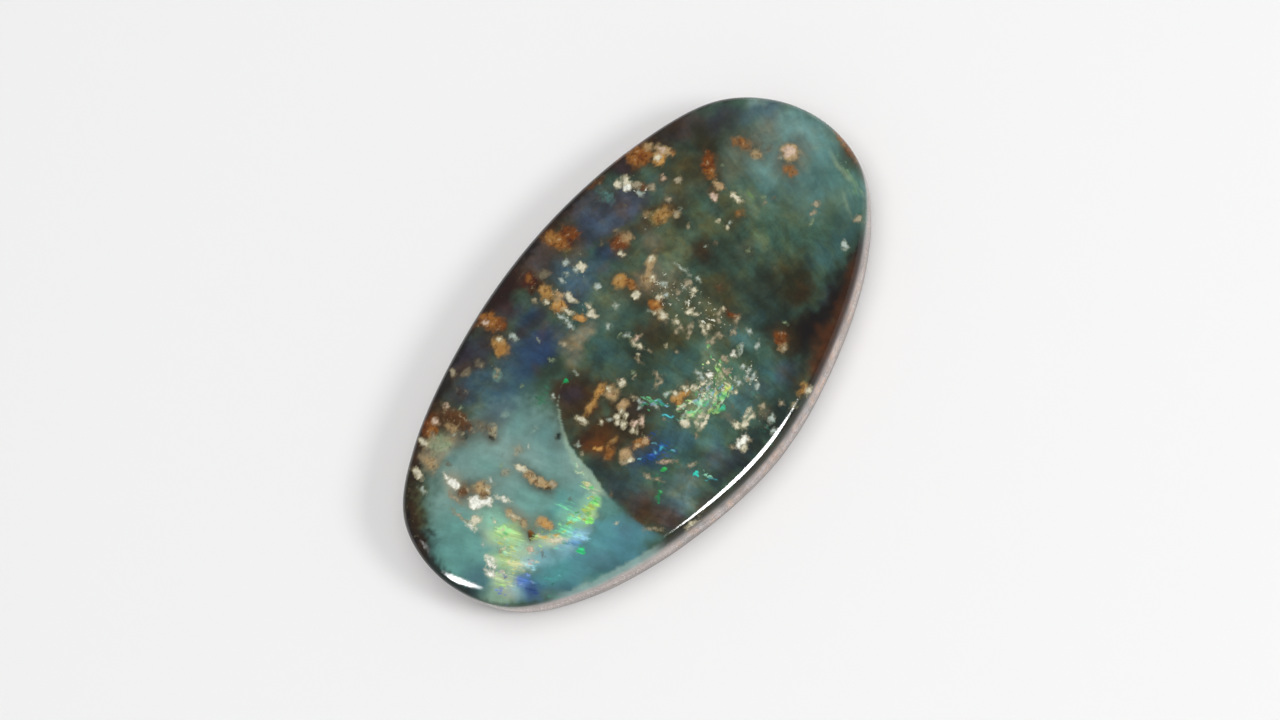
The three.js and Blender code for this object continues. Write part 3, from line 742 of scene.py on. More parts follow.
# Crumbs of pale opal and matrix, by ink: middle x and y, length and width in millimetres, turn in
# degrees. Where crumbs overlap, the one whose edge is furthest away shows.
CRUMBS = {
    "cream": [
        (-9.42, 4.1, 0.22, 0.6, -12), (-8.3, 4.85, 0.2, 0.6, 4), (-8.2, 1.15, 0.16, 0.2, 0),
        (-9.45, 0.78, 0.5, 0.34, -35), (-8.34, -0.45, 0.12, 0.36, 20), (-8.0, -2.45, 0.2, 0.75, 38),
        (-6.66, 0.55, 0.24, 0.44, 8), (-3.12, 4.98, 0.2, 0.24, 0), (-0.75, 4.35, 0.16, 0.2, 0),
        (0.0, 3.6, 0.22, 0.56, 0), (-0.5, 3.28, 0.16, 0.42, 10), (0.02, 2.32, 0.3, 0.46, 0),
        (0.17, 2.65, 0.16, 0.26, -12), (1.27, 4.08, 0.38, 0.46, 0), (1.7, 1.36, 0.3, 0.32, 0),
        (0.14, -0.08, 0.15, 0.38, 8), (1.76, -0.14, 0.22, 0.42, -12), (1.62, 0.26, 0.14, 0.18, 0),
        (2.2, 0.5, 0.18, 0.2, 0), (1.86, -0.75, 0.17, 0.24, 15), (2.32, -1.78, 0.12, 0.42, -25),
        (2.52, -1.9, 0.14, 0.2, 0), (2.52, -0.85, 0.26, 0.26, 0), (2.58, -1.1, 0.12, 0.22, 0),
        (-1.45, -0.6, 0.32, 0.26, 0), (-2.0, -0.38, 0.12, 0.22, -20), (-2.32, -1.35, 0.22, 0.17, 0),
        (-2.65, -1.32, 0.22, 0.2, 30), (-2.8, -1.5, 0.18, 0.18, 0), (-2.7, -1.75, 0.26, 0.2, 0),
        (-2.66, -2.2, 0.2, 0.26, 10), (-2.35, -1.55, 0.16, 0.14, 0), (-3.6, -0.22, 0.26, 0.46, 12),
        (-3.2, -0.95, 0.14, 0.18, 0), (-3.66, -2.86, 0.2, 0.2, 0), (-4.1, -6.28, 0.36, 0.09, -10),
        (0.22, -3.08, 0.2, 0.2, 20), (0.0, -2.74, 0.18, 0.12, -30), (-0.45, -2.55, 0.1, 0.26, 30),
        (-0.7, -3.15, 0.24, 0.12, -10), (0.55, -3.2, 0.12, 0.14, 0), (-1.1, -3.68, 0.28, 0.34, 30),
        (-0.66, -4.24, 0.44, 0.18, 12), (-0.84, -4.04, 0.14, 0.12, 0), (-0.55, -4.0, 0.2, 0.12, 0),
        (-0.36, -4.18, 0.14, 0.14, 0), (1.12, -4.4, 0.18, 0.14, 0), (0.12, -5.3, 0.2, 0.28, 0),
        (0.36, -5.56, 0.38, 0.18, 4), (0.62, -5.36, 0.2, 0.14, 0), (0.9, -5.3, 0.2, 0.14, 20),
        (0.78, -5.54, 0.32, 0.18, 10), (-0.46, -6.12, 0.22, 0.14, -20), (3.05, -6.52, 0.24, 0.08, 8),
        (3.26, -0.44, 0.28, 0.17, 30), (3.28, 1.88, 0.22, 0.16, 10), (2.7, 1.3, 0.26, 0.18, 20),
        (7.36, 0.8, 0.19, 0.5, 0), (4.88, 5.35, 0.28, 0.36, -20), (5.22, 5.12, 0.3, 0.46, -10),
        (2.7, 3.06, 0.16, 0.24, 20), (6.76, 4.72, 0.26, 0.34, 0),
    ],
    "beige": [
        (-7.85, 4.5, 0.12, 0.4, -15), (-9.7, 1.4, 0.12, 0.7, 0), (-9.25, 2.1, 0.12, 0.5, 0),
        (-6.38, -0.92, 0.2, 0.24, 0), (-5.33, 5.75, 0.22, 0.34, -8), (-4.15, 4.12, 0.14, 0.2, 0),
        (-1.0, 4.85, 0.14, 0.22, 0), (-1.65, 2.45, 0.2, 0.34, 20), (-1.62, 2.1, 0.12, 0.16, 0),
        (0.2, 0.2, 0.2, 0.14, 0), (0.58, 0.04, 0.14, 0.12, 0), (-0.3, -0.55, 0.07, 0.22, 0),
        (0.3, -0.66, 0.1, 0.12, 0), (1.55, -1.0, 0.22, 0.17, 0), (1.76, -1.06, 0.16, 0.18, 0),
        (1.85, -1.42, 0.34, 0.16, 30), (2.08, -1.32, 0.28, 0.14, 30), (-0.5, -1.8, 0.4, 0.14, 0),
        (-0.34, -1.52, 0.12, 0.24, -20), (-1.6, -1.4, 0.12, 0.22, 10), (-3.9, -2.72, 0.12, 0.22, 20),
        (-3.72, -3.82, 0.16, 0.26, 20), (-3.6, -4.2, 0.08, 0.26, 25), (-5.2, -5.3, 0.1, 0.4, 38),
        (2.15, -2.38, 0.36, 0.22, 0), (0.3, -3.4, 0.16, 0.12, 0), (1.92, -3.24, 0.26, 0.3, 0),
        (1.55, -3.6, 0.2, 0.3, 15), (2.5, -2.46, 0.18, 0.2, 0), (-2.25, -4.92, 0.26, 0.1, -28),
        (-0.08, -6.1, 0.16, 0.12, 0), (-0.66, -5.7, 0.14, 0.1, 0), (1.37, -5.6, 0.2, 0.16, 0),
        (1.95, -6.1, 0.18, 0.12, 20), (2.18, -6.5, 0.24, 0.08, 0), (3.0, -2.8, 0.3, 0.17, 25),
        (3.5, -2.6, 0.28, 0.15, 10), (3.68, -4.82, 0.2, 0.12, 10), (3.36, -0.02, 0.34, 0.28, 0),
        (2.84, 0.05, 0.2, 0.18, 0), (3.22, -1.85, 0.16, 0.18, -20), (2.95, -2.06, 0.18, 0.18, 0),
        (5.3, 4.62, 0.28, 0.42, 15), (5.62, 4.02, 0.22, 0.32, 10), (5.6, 3.05, 0.2, 0.26, 0),
        (6.48, 3.28, 0.3, 0.3, 0), (9.18, -1.95, 0.24, 0.28, 0), (8.8, -2.1, 0.22, 0.16, 0),
        (9.76, -3.6, 0.28, 0.26, 0), (5.34, 2.32, 0.22, 0.26, 0),
    ],
    "pink_cream": [
        (-7.35, 4.93, 0.28, 0.36, 0), (-6.57, 5.0, 0.14, 0.26, 10), (-8.95, -1.85, 0.26, 0.26, 0),
        (-2.9, 6.0, 0.2, 0.24, 0), (0.42, 0.1, 0.14, 0.16, 0), (-2.35, -2.1, 0.4, 0.2, -15),
        (-2.15, -2.25, 0.34, 0.18, 35), (-2.8, -4.05, 0.07, 0.28, 40), (6.84, 1.55, 0.26, 0.38, -25),
        (6.2, 3.9, 0.18, 0.2, 0), (7.12, 4.85, 0.2, 0.34, 0), (10.2, 0.42, 0.44, 0.54, 0),
    ],
    "ice": [
        (-9.85, 3.45, 0.12, 0.3, 0), (-7.8, 1.25, 0.14, 0.26, -20), (-2.68, 4.55, 0.2, 0.36, 0),
        (-0.82, 3.35, 0.16, 0.36, 8), (-0.9, 2.78, 0.18, 0.32, -10), (-0.85, 3.05, 0.12, 0.26, 0),
        (0.35, 4.42, 0.12, 0.18, 0), (0.68, 4.4, 0.1, 0.2, 10), (1.05, 4.2, 0.24, 0.3, 0),
        (1.05, 4.8, 0.22, 0.26, 0), (1.02, 2.95, 0.26, 0.22, 0), (0.02, 1.4, 0.17, 0.19, 0),
        (0.86, 1.74, 0.17, 0.26, 0), (0.2, 0.55, 0.18, 0.12, 0), (2.45, 0.4, 0.18, 0.2, 0),
        (-0.65, -2.34, 0.17, 0.17, 0), (-1.32, -2.28, 0.09, 0.2, 0), (-1.55, -1.68, 0.1, 0.18, 20),
        (-1.8, -1.84, 0.14, 0.12, 0), (-4.5, -0.75, 0.1, 0.18, 30), (0.8, -2.78, 0.14, 0.22, 0),
        (0.72, -3.05, 0.14, 0.26, 0), (0.8, -3.42, 0.14, 0.14, 0), (-0.85, -3.44, 0.26, 0.1, 0),
        (-0.22, -3.94, 0.14, 0.1, 0), (1.5, -4.3, 0.24, 0.17, -20), (1.56, -4.08, 0.14, 0.1, 0),
        (1.85, -4.4, 0.16, 0.12, 0), (2.05, -4.6, 0.28, 0.12, 10), (2.12, -4.3, 0.16, 0.1, 20),
        (2.15, -4.0, 0.2, 0.12, 20), (1.88, -4.94, 0.18, 0.13, 0), (2.6, -3.5, 0.26, 0.1, 20),
        (1.16, -6.18, 0.34, 0.13, 15), (0.86, -6.58, 0.18, 0.09, 0), (3.4, -3.28, 0.15, 0.2, -20),
        (3.16, -3.92, 0.24, 0.1, 30), (2.76, 0.75, 0.14, 0.3, 0), (3.7, 0.55, 0.12, 0.5, 0),
        (5.13, 4.24, 0.2, 0.28, 0), (8.56, -3.92, 0.24, 0.34, -20),
    ],
    "white": [
        (-8.84, 2.5, 0.36, 0.56, 0), (-8.82, 2.9, 0.14, 0.4, 0), (-8.87, 1.24, 0.5, 0.6, 0),
        (-8.56, 0.85, 0.3, 0.5, 20), (-8.7, 1.0, 0.3, 0.3, 0), (-9.75, 0.85, 0.14, 0.42, 0),
        (-8.05, 0.35, 0.11, 0.38, 18), (-10.72, -1.08, 0.24, 0.46, 12), (-10.42, -0.86, 0.22, 0.46, 0),
        (-10.24, -0.76, 0.12, 0.4, 10), (1.0, -3.2, 0.2, 0.19, 0), (2.28, -3.42, 0.2, 0.18, 10),
        (-0.25, -5.88, 0.52, 0.34, 4), (5.04, 4.9, 0.32, 0.26, 0),
    ],
    "tan": [
        (-0.16, 4.02, 0.2, 0.3, 0), (-2.12, -0.5, 0.22, 0.26, -20), (-2.1, -1.16, 0.34, 0.22, 0),
        (-3.56, -2.6, 0.32, 0.34, 0), (-3.05, -2.7, 0.24, 0.24, 0), (-2.7, -2.86, 0.28, 0.26, 0),
        (7.33, 1.75, 0.26, 0.5, 0),
    ],
    "orange": [
        (-0.42, 2.66, 0.26, 0.5, 28),
    ],
}

# Clouds of fine specks: middle x and y, length and width in millimetres, turn in degrees, strength
SPECK_CLOUDS = [
    (2.8, -0.9, 2.2, 5.0, 0, 0.85),
    (2.6, 0.6, 2.0, 3.2, -20, 0.85),
    (0.3, -3.4, 3.6, 2.2, 0, 0.9),
    (2.0, -4.2, 2.4, 2.6, 0, 0.7),
    (-2.6, -1.6, 1.6, 1.8, 0, 0.5),
    (-0.3, 3.8, 1.5, 4.6, 0, 0.7),
    (1.3, 4.3, 1.3, 2.6, 0, 0.55),
    (5.3, 4.6, 1.6, 3.4, 15, 0.75),
    (0.6, -5.5, 3.0, 1.6, 0, 0.6),
    (4.4, 2.8, 3.0, 2.0, 0, 0.55),
    (-8.7, 1.6, 1.8, 4.2, 0, 0.6),
    (-8.9, 4.2, 1.8, 1.8, 0, 0.55),
    (7.0, 1.4, 1.4, 2.8, 0, 0.45),
    (9.0, -2.0, 1.6, 1.4, 0, 0.45),
    (0.2, 0.4, 1.8, 2.6, 0, 0.5),
    (3.8, -3.2, 1.6, 1.8, 0, 0.5),
    (-4.2, 4.8, 2.6, 2.0, 0, 0.45),
    (-3.4, -4.2, 2.2, 1.6, 0, 0.4),
]

# Small crumbs scattered over the face: how many, their inks, and how far from the middle they reach
SPECK_COUNT = 70
SPECK_INKS = ["cream", "beige", "ice", "taupe", "sage"]
SPECK_REACH = (10.5, 5.5)
SPECK_SIZE = (0.05, 0.1)
SPECK_LENGTH = (1.0, 1.8)
SPECK_SEED = 5

# Flashes of colour: display colour, middle x and y, length and width in millimetres, turn in
# degrees, strength. The long way of each patch is the way its streaks run.
FLASHES = [
    # the fan at the lower left
    ((190, 222, 150), -9.0, -0.75, 1.3, 0.6, -75, 0.7),
    ((150, 222, 150), -8.9, -0.5, 0.8, 0.2, -82, 0.7),
    ((190, 214, 140), -9.8, -1.35, 1.1, 0.8, -70, 0.6),
    ((170, 215, 175), -9.5, -0.5, 1.2, 0.22, -86, 0.45),
    ((150, 220, 190), -9.2, -1.3, 1.1, 0.5, -65, 0.5),
    ((196, 206, 160), -10.5, -1.8, 1.2, 0.8, -62, 0.6),
    ((160, 200, 150), -10.9, -1.6, 0.9, 0.4, -62, 0.35),
    ((214, 208, 160), -9.7, -1.9, 1.0, 0.4, -62, 0.5),
    ((98, 140, 214), -10.05, -2.35, 0.7, 0.35, -60, 0.85),
    ((90, 120, 200), -11.1, -1.85, 0.45, 0.12, -78, 0.8),
    ((50, 74, 130), -10.1, -2.95, 0.9, 0.7, -60, 0.5),
    ((150, 214, 226), -9.4, -2.25, 0.8, 0.35, -62, 0.75),
    ((70, 180, 160), -9.3, -3.2, 0.8, 0.12, -60, 0.7),
    ((180, 206, 120), -8.35, -1.95, 1.1, 0.14, -58, 0.7),
    ((212, 205, 150), -8.1, -2.2, 1.1, 0.4, -58, 0.5),
    ((120, 220, 165), -7.5, -2.4, 1.0, 0.6, -60, 0.65),
    ((120, 210, 160), -6.7, -2.0, 1.6, 0.7, -60, 0.45),
    ((140, 236, 180), -6.9, -2.45, 0.7, 0.18, -60, 0.8),
    ((150, 206, 226), -7.3, -3.05, 1.0, 0.6, -60, 0.75),
    ((84, 140, 190), -7.6, -3.2, 0.9, 0.3, -60, 0.6),
    ((64, 206, 130), -7.75, -3.5, 0.4, 0.34, -60, 0.85),
    ((60, 160, 120), -9.8, -3.7, 0.6, 0.4, -50, 0.4),
    ((120, 220, 196), -8.2, -2.9, 0.8, 0.16, -60, 0.45),
    # the lobe's bright edge
    ((206, 222, 110), -6.3, -2.7, 0.5, 0.3, -60, 0.8),
    ((146, 240, 120), -6.55, -3.08, 0.45, 0.32, -60, 0.9),
    ((172, 228, 124), -6.0, -2.85, 0.5, 0.35, -60, 0.8),
    ((104, 206, 120), -5.75, -2.78, 0.45, 0.25, -60, 0.7),
    ((156, 220, 150), -5.6, -2.05, 0.5, 0.3, -50, 0.7),
    ((200, 214, 170), -5.5, -2.6, 0.7, 0.3, -60, 0.45),
    ((150, 190, 150), -5.25, -1.6, 1.3, 0.24, -78, 0.4),
    # green lights along the lobe's top and the dark side of it
    ((40, 160, 92), -2.75, 1.36, 0.34, 0.22, 10, 0.95),
    ((60, 130, 90), -3.8, 1.7, 1.2, 0.6, 10, 0.45),
    ((50, 110, 80), -4.2, 1.9, 0.8, 0.8, 0, 0.35),
    ((62, 180, 92), -3.15, -4.15, 0.3, 0.24, 0, 0.9),
    ((44, 128, 76), -4.0, -4.65, 0.45, 0.26, 30, 0.75),
    ((84, 160, 110), -3.7, -4.3, 0.22, 0.1, 30, 0.7),
    # the blue flashes in the dark part
    ((40, 80, 138), -2.6, -3.55, 1.2, 0.6, -20, 0.6),
    ((42, 70, 126), -3.2, -3.5, 0.8, 0.5, 0, 0.5),
    ((84, 206, 230), -2.52, -3.6, 0.26, 0.12, 0, 0.95),
    ((64, 104, 166), -2.75, -3.9, 0.4, 0.14, -40, 0.6),
    ((38, 76, 130), -2.35, -2.9, 0.7, 0.35, -20, 0.6),
    ((46, 66, 120), -2.4, -4.1, 0.6, 0.5, 0, 0.35),
    ((60, 206, 186), -2.42, -5.26, 0.28, 0.22, -40, 0.95),
    ((60, 150, 160), -2.25, -5.9, 0.8, 0.1, -50, 0.7),
    ((50, 120, 116), -2.7, -4.6, 0.7, 0.2, -50, 0.4),
    # the sparkle arc in the middle
    ((84, 196, 206), -1.35, -3.0, 0.9, 0.1, -65, 0.7),
    ((110, 180, 130), -1.25, -1.9, 0.9, 0.3, -80, 0.55),
    ((70, 150, 160), -1.1, -2.4, 0.8, 0.3, -70, 0.45),
    ((130, 190, 110), -0.65, -3.65, 0.5, 0.3, 0, 0.75),
    ((110, 170, 120), -0.6, -2.4, 0.5, 0.5, 0, 0.35),
    ((96, 160, 130), 0.0, -3.6, 1.4, 0.7, 0, 0.5),
    ((96, 166, 160), 0.4, -3.85, 0.8, 0.4, 0, 0.35),
    ((112, 204, 130), 0.0, -4.2, 0.42, 0.2, -20, 0.7),
    ((70, 190, 150), 0.25, -4.42, 0.6, 0.12, -20, 0.8),
    ((130, 222, 140), 0.65, -4.15, 0.5, 0.12, 25, 0.85),
    ((150, 220, 130), 0.85, -4.05, 0.4, 0.14, 20, 0.7),
    ((226, 230, 104), 1.0, -4.08, 0.26, 0.2, 0, 0.9),
    ((112, 160, 96), 1.25, -3.5, 0.6, 0.5, 0, 0.4),
    ((80, 150, 90), 1.6, -3.3, 0.7, 0.4, 40, 0.4),
    ((90, 140, 96), 0.9, -2.2, 1.2, 0.5, 0, 0.3),
    ((52, 140, 130), 1.4, -5.1, 0.7, 0.3, 20, 0.4),
    ((40, 120, 96), 0.8, -6.2, 0.8, 0.4, 0, 0.4),
    # faint greens at the right-hand end
    ((112, 150, 112), 11.1, -1.7, 1.8, 0.4, 70, 0.5),
    ((110, 150, 118), 10.6, -2.7, 1.0, 0.5, 62, 0.5),
    ((104, 132, 84), 7.7, 0.3, 0.9, 0.4, 80, 0.5),
    ((104, 130, 92), 6.6, -1.2, 1.5, 0.4, 72, 0.35),
]

# Shades of the glints
GLINT_SHADES = {
    "lime": (176, 222, 136),
    "yellow": (212, 214, 112),
    "green": (96, 196, 124),
    "deep": (52, 130, 88),
    "mint": (150, 212, 180),
    "cyan": (118, 190, 204),
    "sky": (144, 178, 214),
    "blue": (66, 104, 180),
    "violet": (120, 120, 180),
    "cream": (226, 220, 180),
    "gold": (214, 170, 90),
    "pink": (220, 180, 160),
}

# Glints: from x, y to x, y, width of the band in millimetres, how many, turn, and their shades
GLINT_PATHS = [
    (-8.9, 0.2, -9.2, -0.9, 0.35, 16, -72, ("lime", "green", "mint", "cream")),
    (-9.3, -0.9, -10.2, -1.6, 0.45, 22, -66, ("lime", "cream", "yellow", "mint")),
    (-10.2, -1.5, -11.2, -2.0, 0.35, 14, -64, ("cream", "blue", "violet", "lime")),
    (-9.7, -1.9, -9.0, -2.1, 0.3, 14, -62, ("cyan", "cream", "sky", "pink")),
    (-10.3, -2.3, -9.8, -2.6, 0.25, 6, -62, ("blue", "sky")),
    (-8.7, -1.7, -7.6, -2.4, 0.3, 20, -58, ("gold", "cream", "pink", "lime")),
    (-8.2, -2.6, -7.0, -3.0, 0.25, 16, -60, ("cyan", "sky", "mint")),
    (-7.4, -2.4, -6.1, -2.8, 0.3, 26, -60, ("green", "lime", "mint", "yellow")),
    (-6.4, -2.9, -5.5, -2.2, 0.22, 20, -60, ("lime", "yellow", "green", "cream")),
    (-5.6, -2.2, -5.1, -1.2, 0.14, 12, -70, ("cream", "mint")),
    (-9.8, -3.0, -8.4, -3.5, 0.3, 8, -62, ("deep", "cyan")),
    (-1.5, -1.7, -0.9, -3.3, 0.3, 26, -70, ("deep", "mint", "sky", "green")),
    (-0.9, -3.2, 0.0, -4.1, 0.4, 44, -30, ("green", "lime", "cream", "mint")),
    (0.0, -4.1, 1.1, -4.0, 0.35, 44, 5, ("lime", "sky", "green", "yellow", "cream")),
    (-0.4, -3.4, 0.9, -3.6, 0.4, 30, 0, ("mint", "sky", "green", "cream")),
    (1.0, -3.9, 1.9, -2.7, 0.4, 30, 40, ("green", "lime", "deep", "cream")),
    (-3.2, -3.2, -2.2, -3.9, 0.35, 12, -60, ("blue", "cyan", "blue", "deep")),
    (-4.2, -4.75, -3.4, -4.1, 0.16, 7, 35, ("deep", "deep", "green")),
    (-2.3, -4.9, -2.1, -6.0, 0.15, 7, -55, ("cyan", "mint")),
]

# Ranges for a glint's width, its length in widths, its turn off the path's, brightness and strength
GLINT_SIZE = (0.06, 0.12)
GLINT_LENGTH = (1.6, 3.2)
GLINT_TURN = (-12, 12)
GLINT_BRIGHTNESS = (0.8, 1.05)
GLINT_STRENGTH = (0.5, 0.95)
GLINT_SEED = 8

# The sky's reflection in the polish, which lies over every colour of the face, and the least that an
# ink is left with when it is taken off
VEIL = 0.0128
DARKEST = 0.002

# The pattern's fine streaks all point towards one place off the near side of the stone, about the
# reach away. The pull moves the patches along them, in strips of the given width and length.
FEATHER_FOCUS = (1.0, -25.0)
FEATHER_REACH = 25.0
FEATHER_PULL = 0.26
FEATHER_WIDTH = 0.6
FEATHER_LENGTH = 1.8

# Bends that keep the patches from being plain ellipses: how far and how large, in millimetres, and
# how far apart the two axes read their noise
BROAD_BEND = (0.3, 1.7)
FINE_BEND = (0.07, 0.45)
CRUMB_BEND = (0.09, 0.26)
BROAD_APART = 40
CRUMB_APART = 9
RAGGED_SIZE = 0.3
BROAD_SEED = 11
FINE_SEED = 12

# Patches at least this large follow the bends in full. A wholly soft patch ends at the first share
# of its radius outside its ellipse, and covers in full only from the second share inside it.
FULL_BEND_SIZE = 1.6
SOFT_EDGE = (0.6, 0.85)
PATCH_RAGGED = 0.08

# Stains, flashes and crumbs, which are worked out only up to a margin in millimetres
OVERLAY_RAGGED = 0.15
OVERLAY_MARGIN = 0.4
CRUMB_MARGIN = 0.35
NO_CRUMB = -1.0

# The lobe's edge is crisp near the viewer and fades towards its top
LOBE_EDGE_SLANT = 0.85
LOBE_EDGE_RAGGED = 0.05
LOBE_FADE = (2.6, 0.6)
CRISP_EDGE = (-0.05, 0.09)
FADED_EDGE = (-0.9, 1.2)

# The pale line along the inside of the lobe's edge: y and width at places along it
LOBE_LINE_COLOUR = (158, 182, 160)
LOBE_LINE_WIDTHS = [(-3.2, 0.1), (-2.2, 0.42), (-1.0, 0.3), (0.2, 0.14), (1.2, 0.07)]
LOBE_LINE_STRENGTH = 0.6
LOBE_LINE_START = 0.06
LOBE_LINE_NEAR = (-3.4, -2.6)
LOBE_LINE_TOP = (1.6, 0.9)

# Calm parts: the lobe up to its top, and to a lesser degree the right-hand end
CALM_LOBE = (4.2, 2.8)
CALM_END = (7.0, 9.5)
CALM_END_SHARE = 0.6

# The tints along the girdle fade at their ends over these degrees, and their width varies by a share
RIM_FADE = 3
RIM_RAGGED = 0.5

# Each stain darkens and browns the opal round it
HALO_INK = "umber"
HALO_GROWTH = 1.6
HALO_MARGIN = 0.25
HALO_STRENGTH = 0.45

# Shares of its radius between which a cloud of specks thickens
CLOUD_FADE = (1.35, 0.3)


def pigment(*levels):
    """Colour of the stone itself where the eye sees the given display colour through the polish."""
    return np.maximum(srgb(*levels) - VEIL, DARKEST)


def ink(name):
    return pigment(*INKS[name])


def bend(noise, x, y, bends, count=3):
    """How far each place is moved, in millimetres."""
    distance, size = bends
    return distance * noise.layers(x, y, size, count)


def spread(x, y, mid_x, mid_y, length, width, turn):
    """Distance from the middle of an ellipse, as a share of its radius."""
    cos, sin = math.cos(math.radians(turn)), math.sin(math.radians(turn))
    dx, dy = x - mid_x, y - mid_y
    along, across = dx * cos + dy * sin, dy * cos - dx * sin
    return np.hypot(along / (length / 2), across / (width / 2))


def cover_with(under, over, cover):
    """The colours under and over, mixed by how much each place is covered."""
    cover = cover[:, None]
    return under * (1 - cover) + over * cover


class Pattern:
    """Colour fields over places on the stone, in millimetres."""

    def __init__(self, x, y, inset):
        self.x, self.y, self.inset = x, y, inset
        broad, fine = Noise(BROAD_SEED), Noise(FINE_SEED)
        far_x = x + BROAD_APART
        self.bent_x = x + bend(broad, x, y, BROAD_BEND, 4) + bend(fine, x, y, FINE_BEND)
        self.bent_y = y + bend(broad, far_x, y, BROAD_BEND, 4) + bend(fine, far_x, y, FINE_BEND)
        self.feather(broad)
        self.ragged = fine.layers(x, y, RAGGED_SIZE, 3)
        self.small_x = x + bend(fine, x + CRUMB_APART, y, CRUMB_BEND)
        self.small_y = y + bend(fine, x, y + CRUMB_APART, CRUMB_BEND)

    def feather(self, noise):
        """Pulls the pattern along the lines that meet at the focus."""
        away_x, away_y = self.x - FEATHER_FOCUS[0], self.y - FEATHER_FOCUS[1]
        along = np.hypot(away_x, away_y)
        across = np.arctan2(away_x, away_y) * FEATHER_REACH
        pull = FEATHER_PULL * noise.layers(across / FEATHER_WIDTH, along / FEATHER_LENGTH, 1.0, 2)
        self.bent_x += pull * away_x / along
        self.bent_y += pull * away_y / along

    def near(self, mid_x, mid_y, reach):
        """Which places lie in a square round the middle of a patch."""
        return np.nonzero((np.abs(self.x - mid_x) < reach) & (np.abs(self.y - mid_y) < reach))[0]

    def lay(self, colour, patches):
        """The colour with the patches laid over it, one after another."""
        grow, thin = SOFT_EDGE
        for name, mid_x, mid_y, length, width, turn, strength, soft in patches:
            follow = min(1.0, math.sqrt(length * width) / FULL_BEND_SIZE)
            x = self.x + (self.bent_x - self.x) * follow
            y = self.y + (self.bent_y - self.y) * follow
            share = spread(x, y, mid_x, mid_y, length, width, turn) + PATCH_RAGGED * self.ragged
            cover = strength * smoothstep(1 + grow * soft, 1 - thin * soft, share)
            colour = cover_with(colour, ink(name), cover)
        return colour

    def lobe_side(self):
        """Signed distance to the lobe's edge in millimetres, positive inside the lobe."""
        heights, edges = np.array(LOBE_EDGE[::-1]).T
        side = (np.interp(self.y, heights, edges) - self.x) * LOBE_EDGE_SLANT
        return side + LOBE_EDGE_RAGGED * self.ragged

    def lobe_line(self, side):
        """Strength of the pale line along the inside of the lobe's edge."""
        heights, widths = np.array(LOBE_LINE_WIDTHS).T
        width = np.interp(self.y, heights, widths)
        line = smoothstep(0, LOBE_LINE_START, side) * smoothstep(width * 1.4, width * 0.5, side)
        ends = smoothstep(*LOBE_LINE_NEAR, self.y) * smoothstep(*LOBE_LINE_TOP, self.y)
        return line * ends * LOBE_LINE_STRENGTH

    def rim_cover(self, start, end, width, strength):
        """How much a tint along the girdle covers, the painted dark reflection on the near side included.
        """
        middle, half = math.radians((start + end) / 2), (end - start) / 2
        off = np.degrees(np.abs(np.angle(np.exp(1j * (np.arctan2(self.y, self.x) - middle)))))
        wavy = width * (1 + RIM_RAGGED * self.ragged)
        band = smoothstep(1.5 * wavy, 0.5 * wavy, self.inset)
        return strength * smoothstep(half + RIM_FADE, half - RIM_FADE, off) * band

    def body(self):
        """Colour of the opal without its crumbs, stains and flashes."""
        colour = np.tile(ink("sea_green"), (len(self.x), 1))
        colour = self.lay(colour, GROUND)
        lobed = self.lay(colour, LOBE)
        side = self.lobe_side()
        near = smoothstep(*LOBE_FADE, self.y)
        inside = smoothstep(*CRISP_EDGE, side) * near + smoothstep(*FADED_EDGE, side) * (1 - near)
        colour = cover_with(colour, lobed, inside)
        self.calm = np.maximum(
            inside * smoothstep(*CALM_LOBE, self.y),
            CALM_END_SHARE * smoothstep(*CALM_END, self.x),
        )
        colour = cover_with(colour, pigment(*LOBE_LINE_COLOUR), self.lobe_line(side))
        # Tints along the girdle, with the painted dark reflection along its near side
        for name, *tint in RIM_TINTS_AND_PAINTED_REFLECTION:
            colour = cover_with(colour, ink(name), self.rim_cover(*tint))
        halos = []
        for _, mid_x, mid_y, length, width, turn, strength, _ in STAINS:
            size = length * HALO_GROWTH + HALO_MARGIN, width * HALO_GROWTH + HALO_MARGIN
            halos.append((HALO_INK, mid_x, mid_y, *size, turn, HALO_STRENGTH * strength, 1.0))
        return self.lay(colour, halos)

    def overlay(self, patches, shade_of, follow, inner, outer):
        """Colours of the patches laid over each other, and how much they cover together."""
        colour, cover = np.zeros((len(self.x), 3)), np.zeros(len(self.x))
        for name, mid_x, mid_y, length, width, turn, strength in patches:
            near = self.near(mid_x, mid_y, 0.9 * max(length, width) + OVERLAY_MARGIN)
            x = self.small_x[near] + (self.bent_x[near] - self.x[near]) * follow
            y = self.small_y[near] + (self.bent_y[near] - self.y[near]) * follow
            share = spread(x, y, mid_x, mid_y, length, width, turn) + OVERLAY_RAGGED * self.ragged[near]
            part = strength * smoothstep(outer, inner, share)
            colour[near] = cover_with(colour[near], shade_of(name), part)
            cover[near] = cover[near] * (1 - part) + part
        return colour / np.maximum(cover, 1e-4)[:, None], cover

    def crumbs(self, crumbs):
        """Signed distance to the nearest crumb's edge, in millimetres, and that crumb's colour."""
        depth = np.full(len(self.x), NO_CRUMB)
        colour = np.tile(ink("cream"), (len(self.x), 1))
        for name, mid_x, mid_y, length, width, turn in crumbs:
            near = self.near(mid_x, mid_y, max(length, width) + CRUMB_MARGIN)
            share = spread(self.small_x[near], self.small_y[near], mid_x, mid_y, length, width, turn)
            inside = (1 - share) * min(length, width) / 2
            better = inside > depth[near]
            depth[near[better]] = inside[better]
            colour[near[better]] = ink(name)
        return depth, colour

    def stains(self):
        return self.overlay([stain[:7] for stain in STAINS], ink, follow=0.25, inner=0.35, outer=1.45)

    def flashes(self):
        flashes = FLASHES + glints()
        return self.overlay(flashes, lambda shade: pigment(*shade), follow=0.3, inner=0.2, outer=1.5)

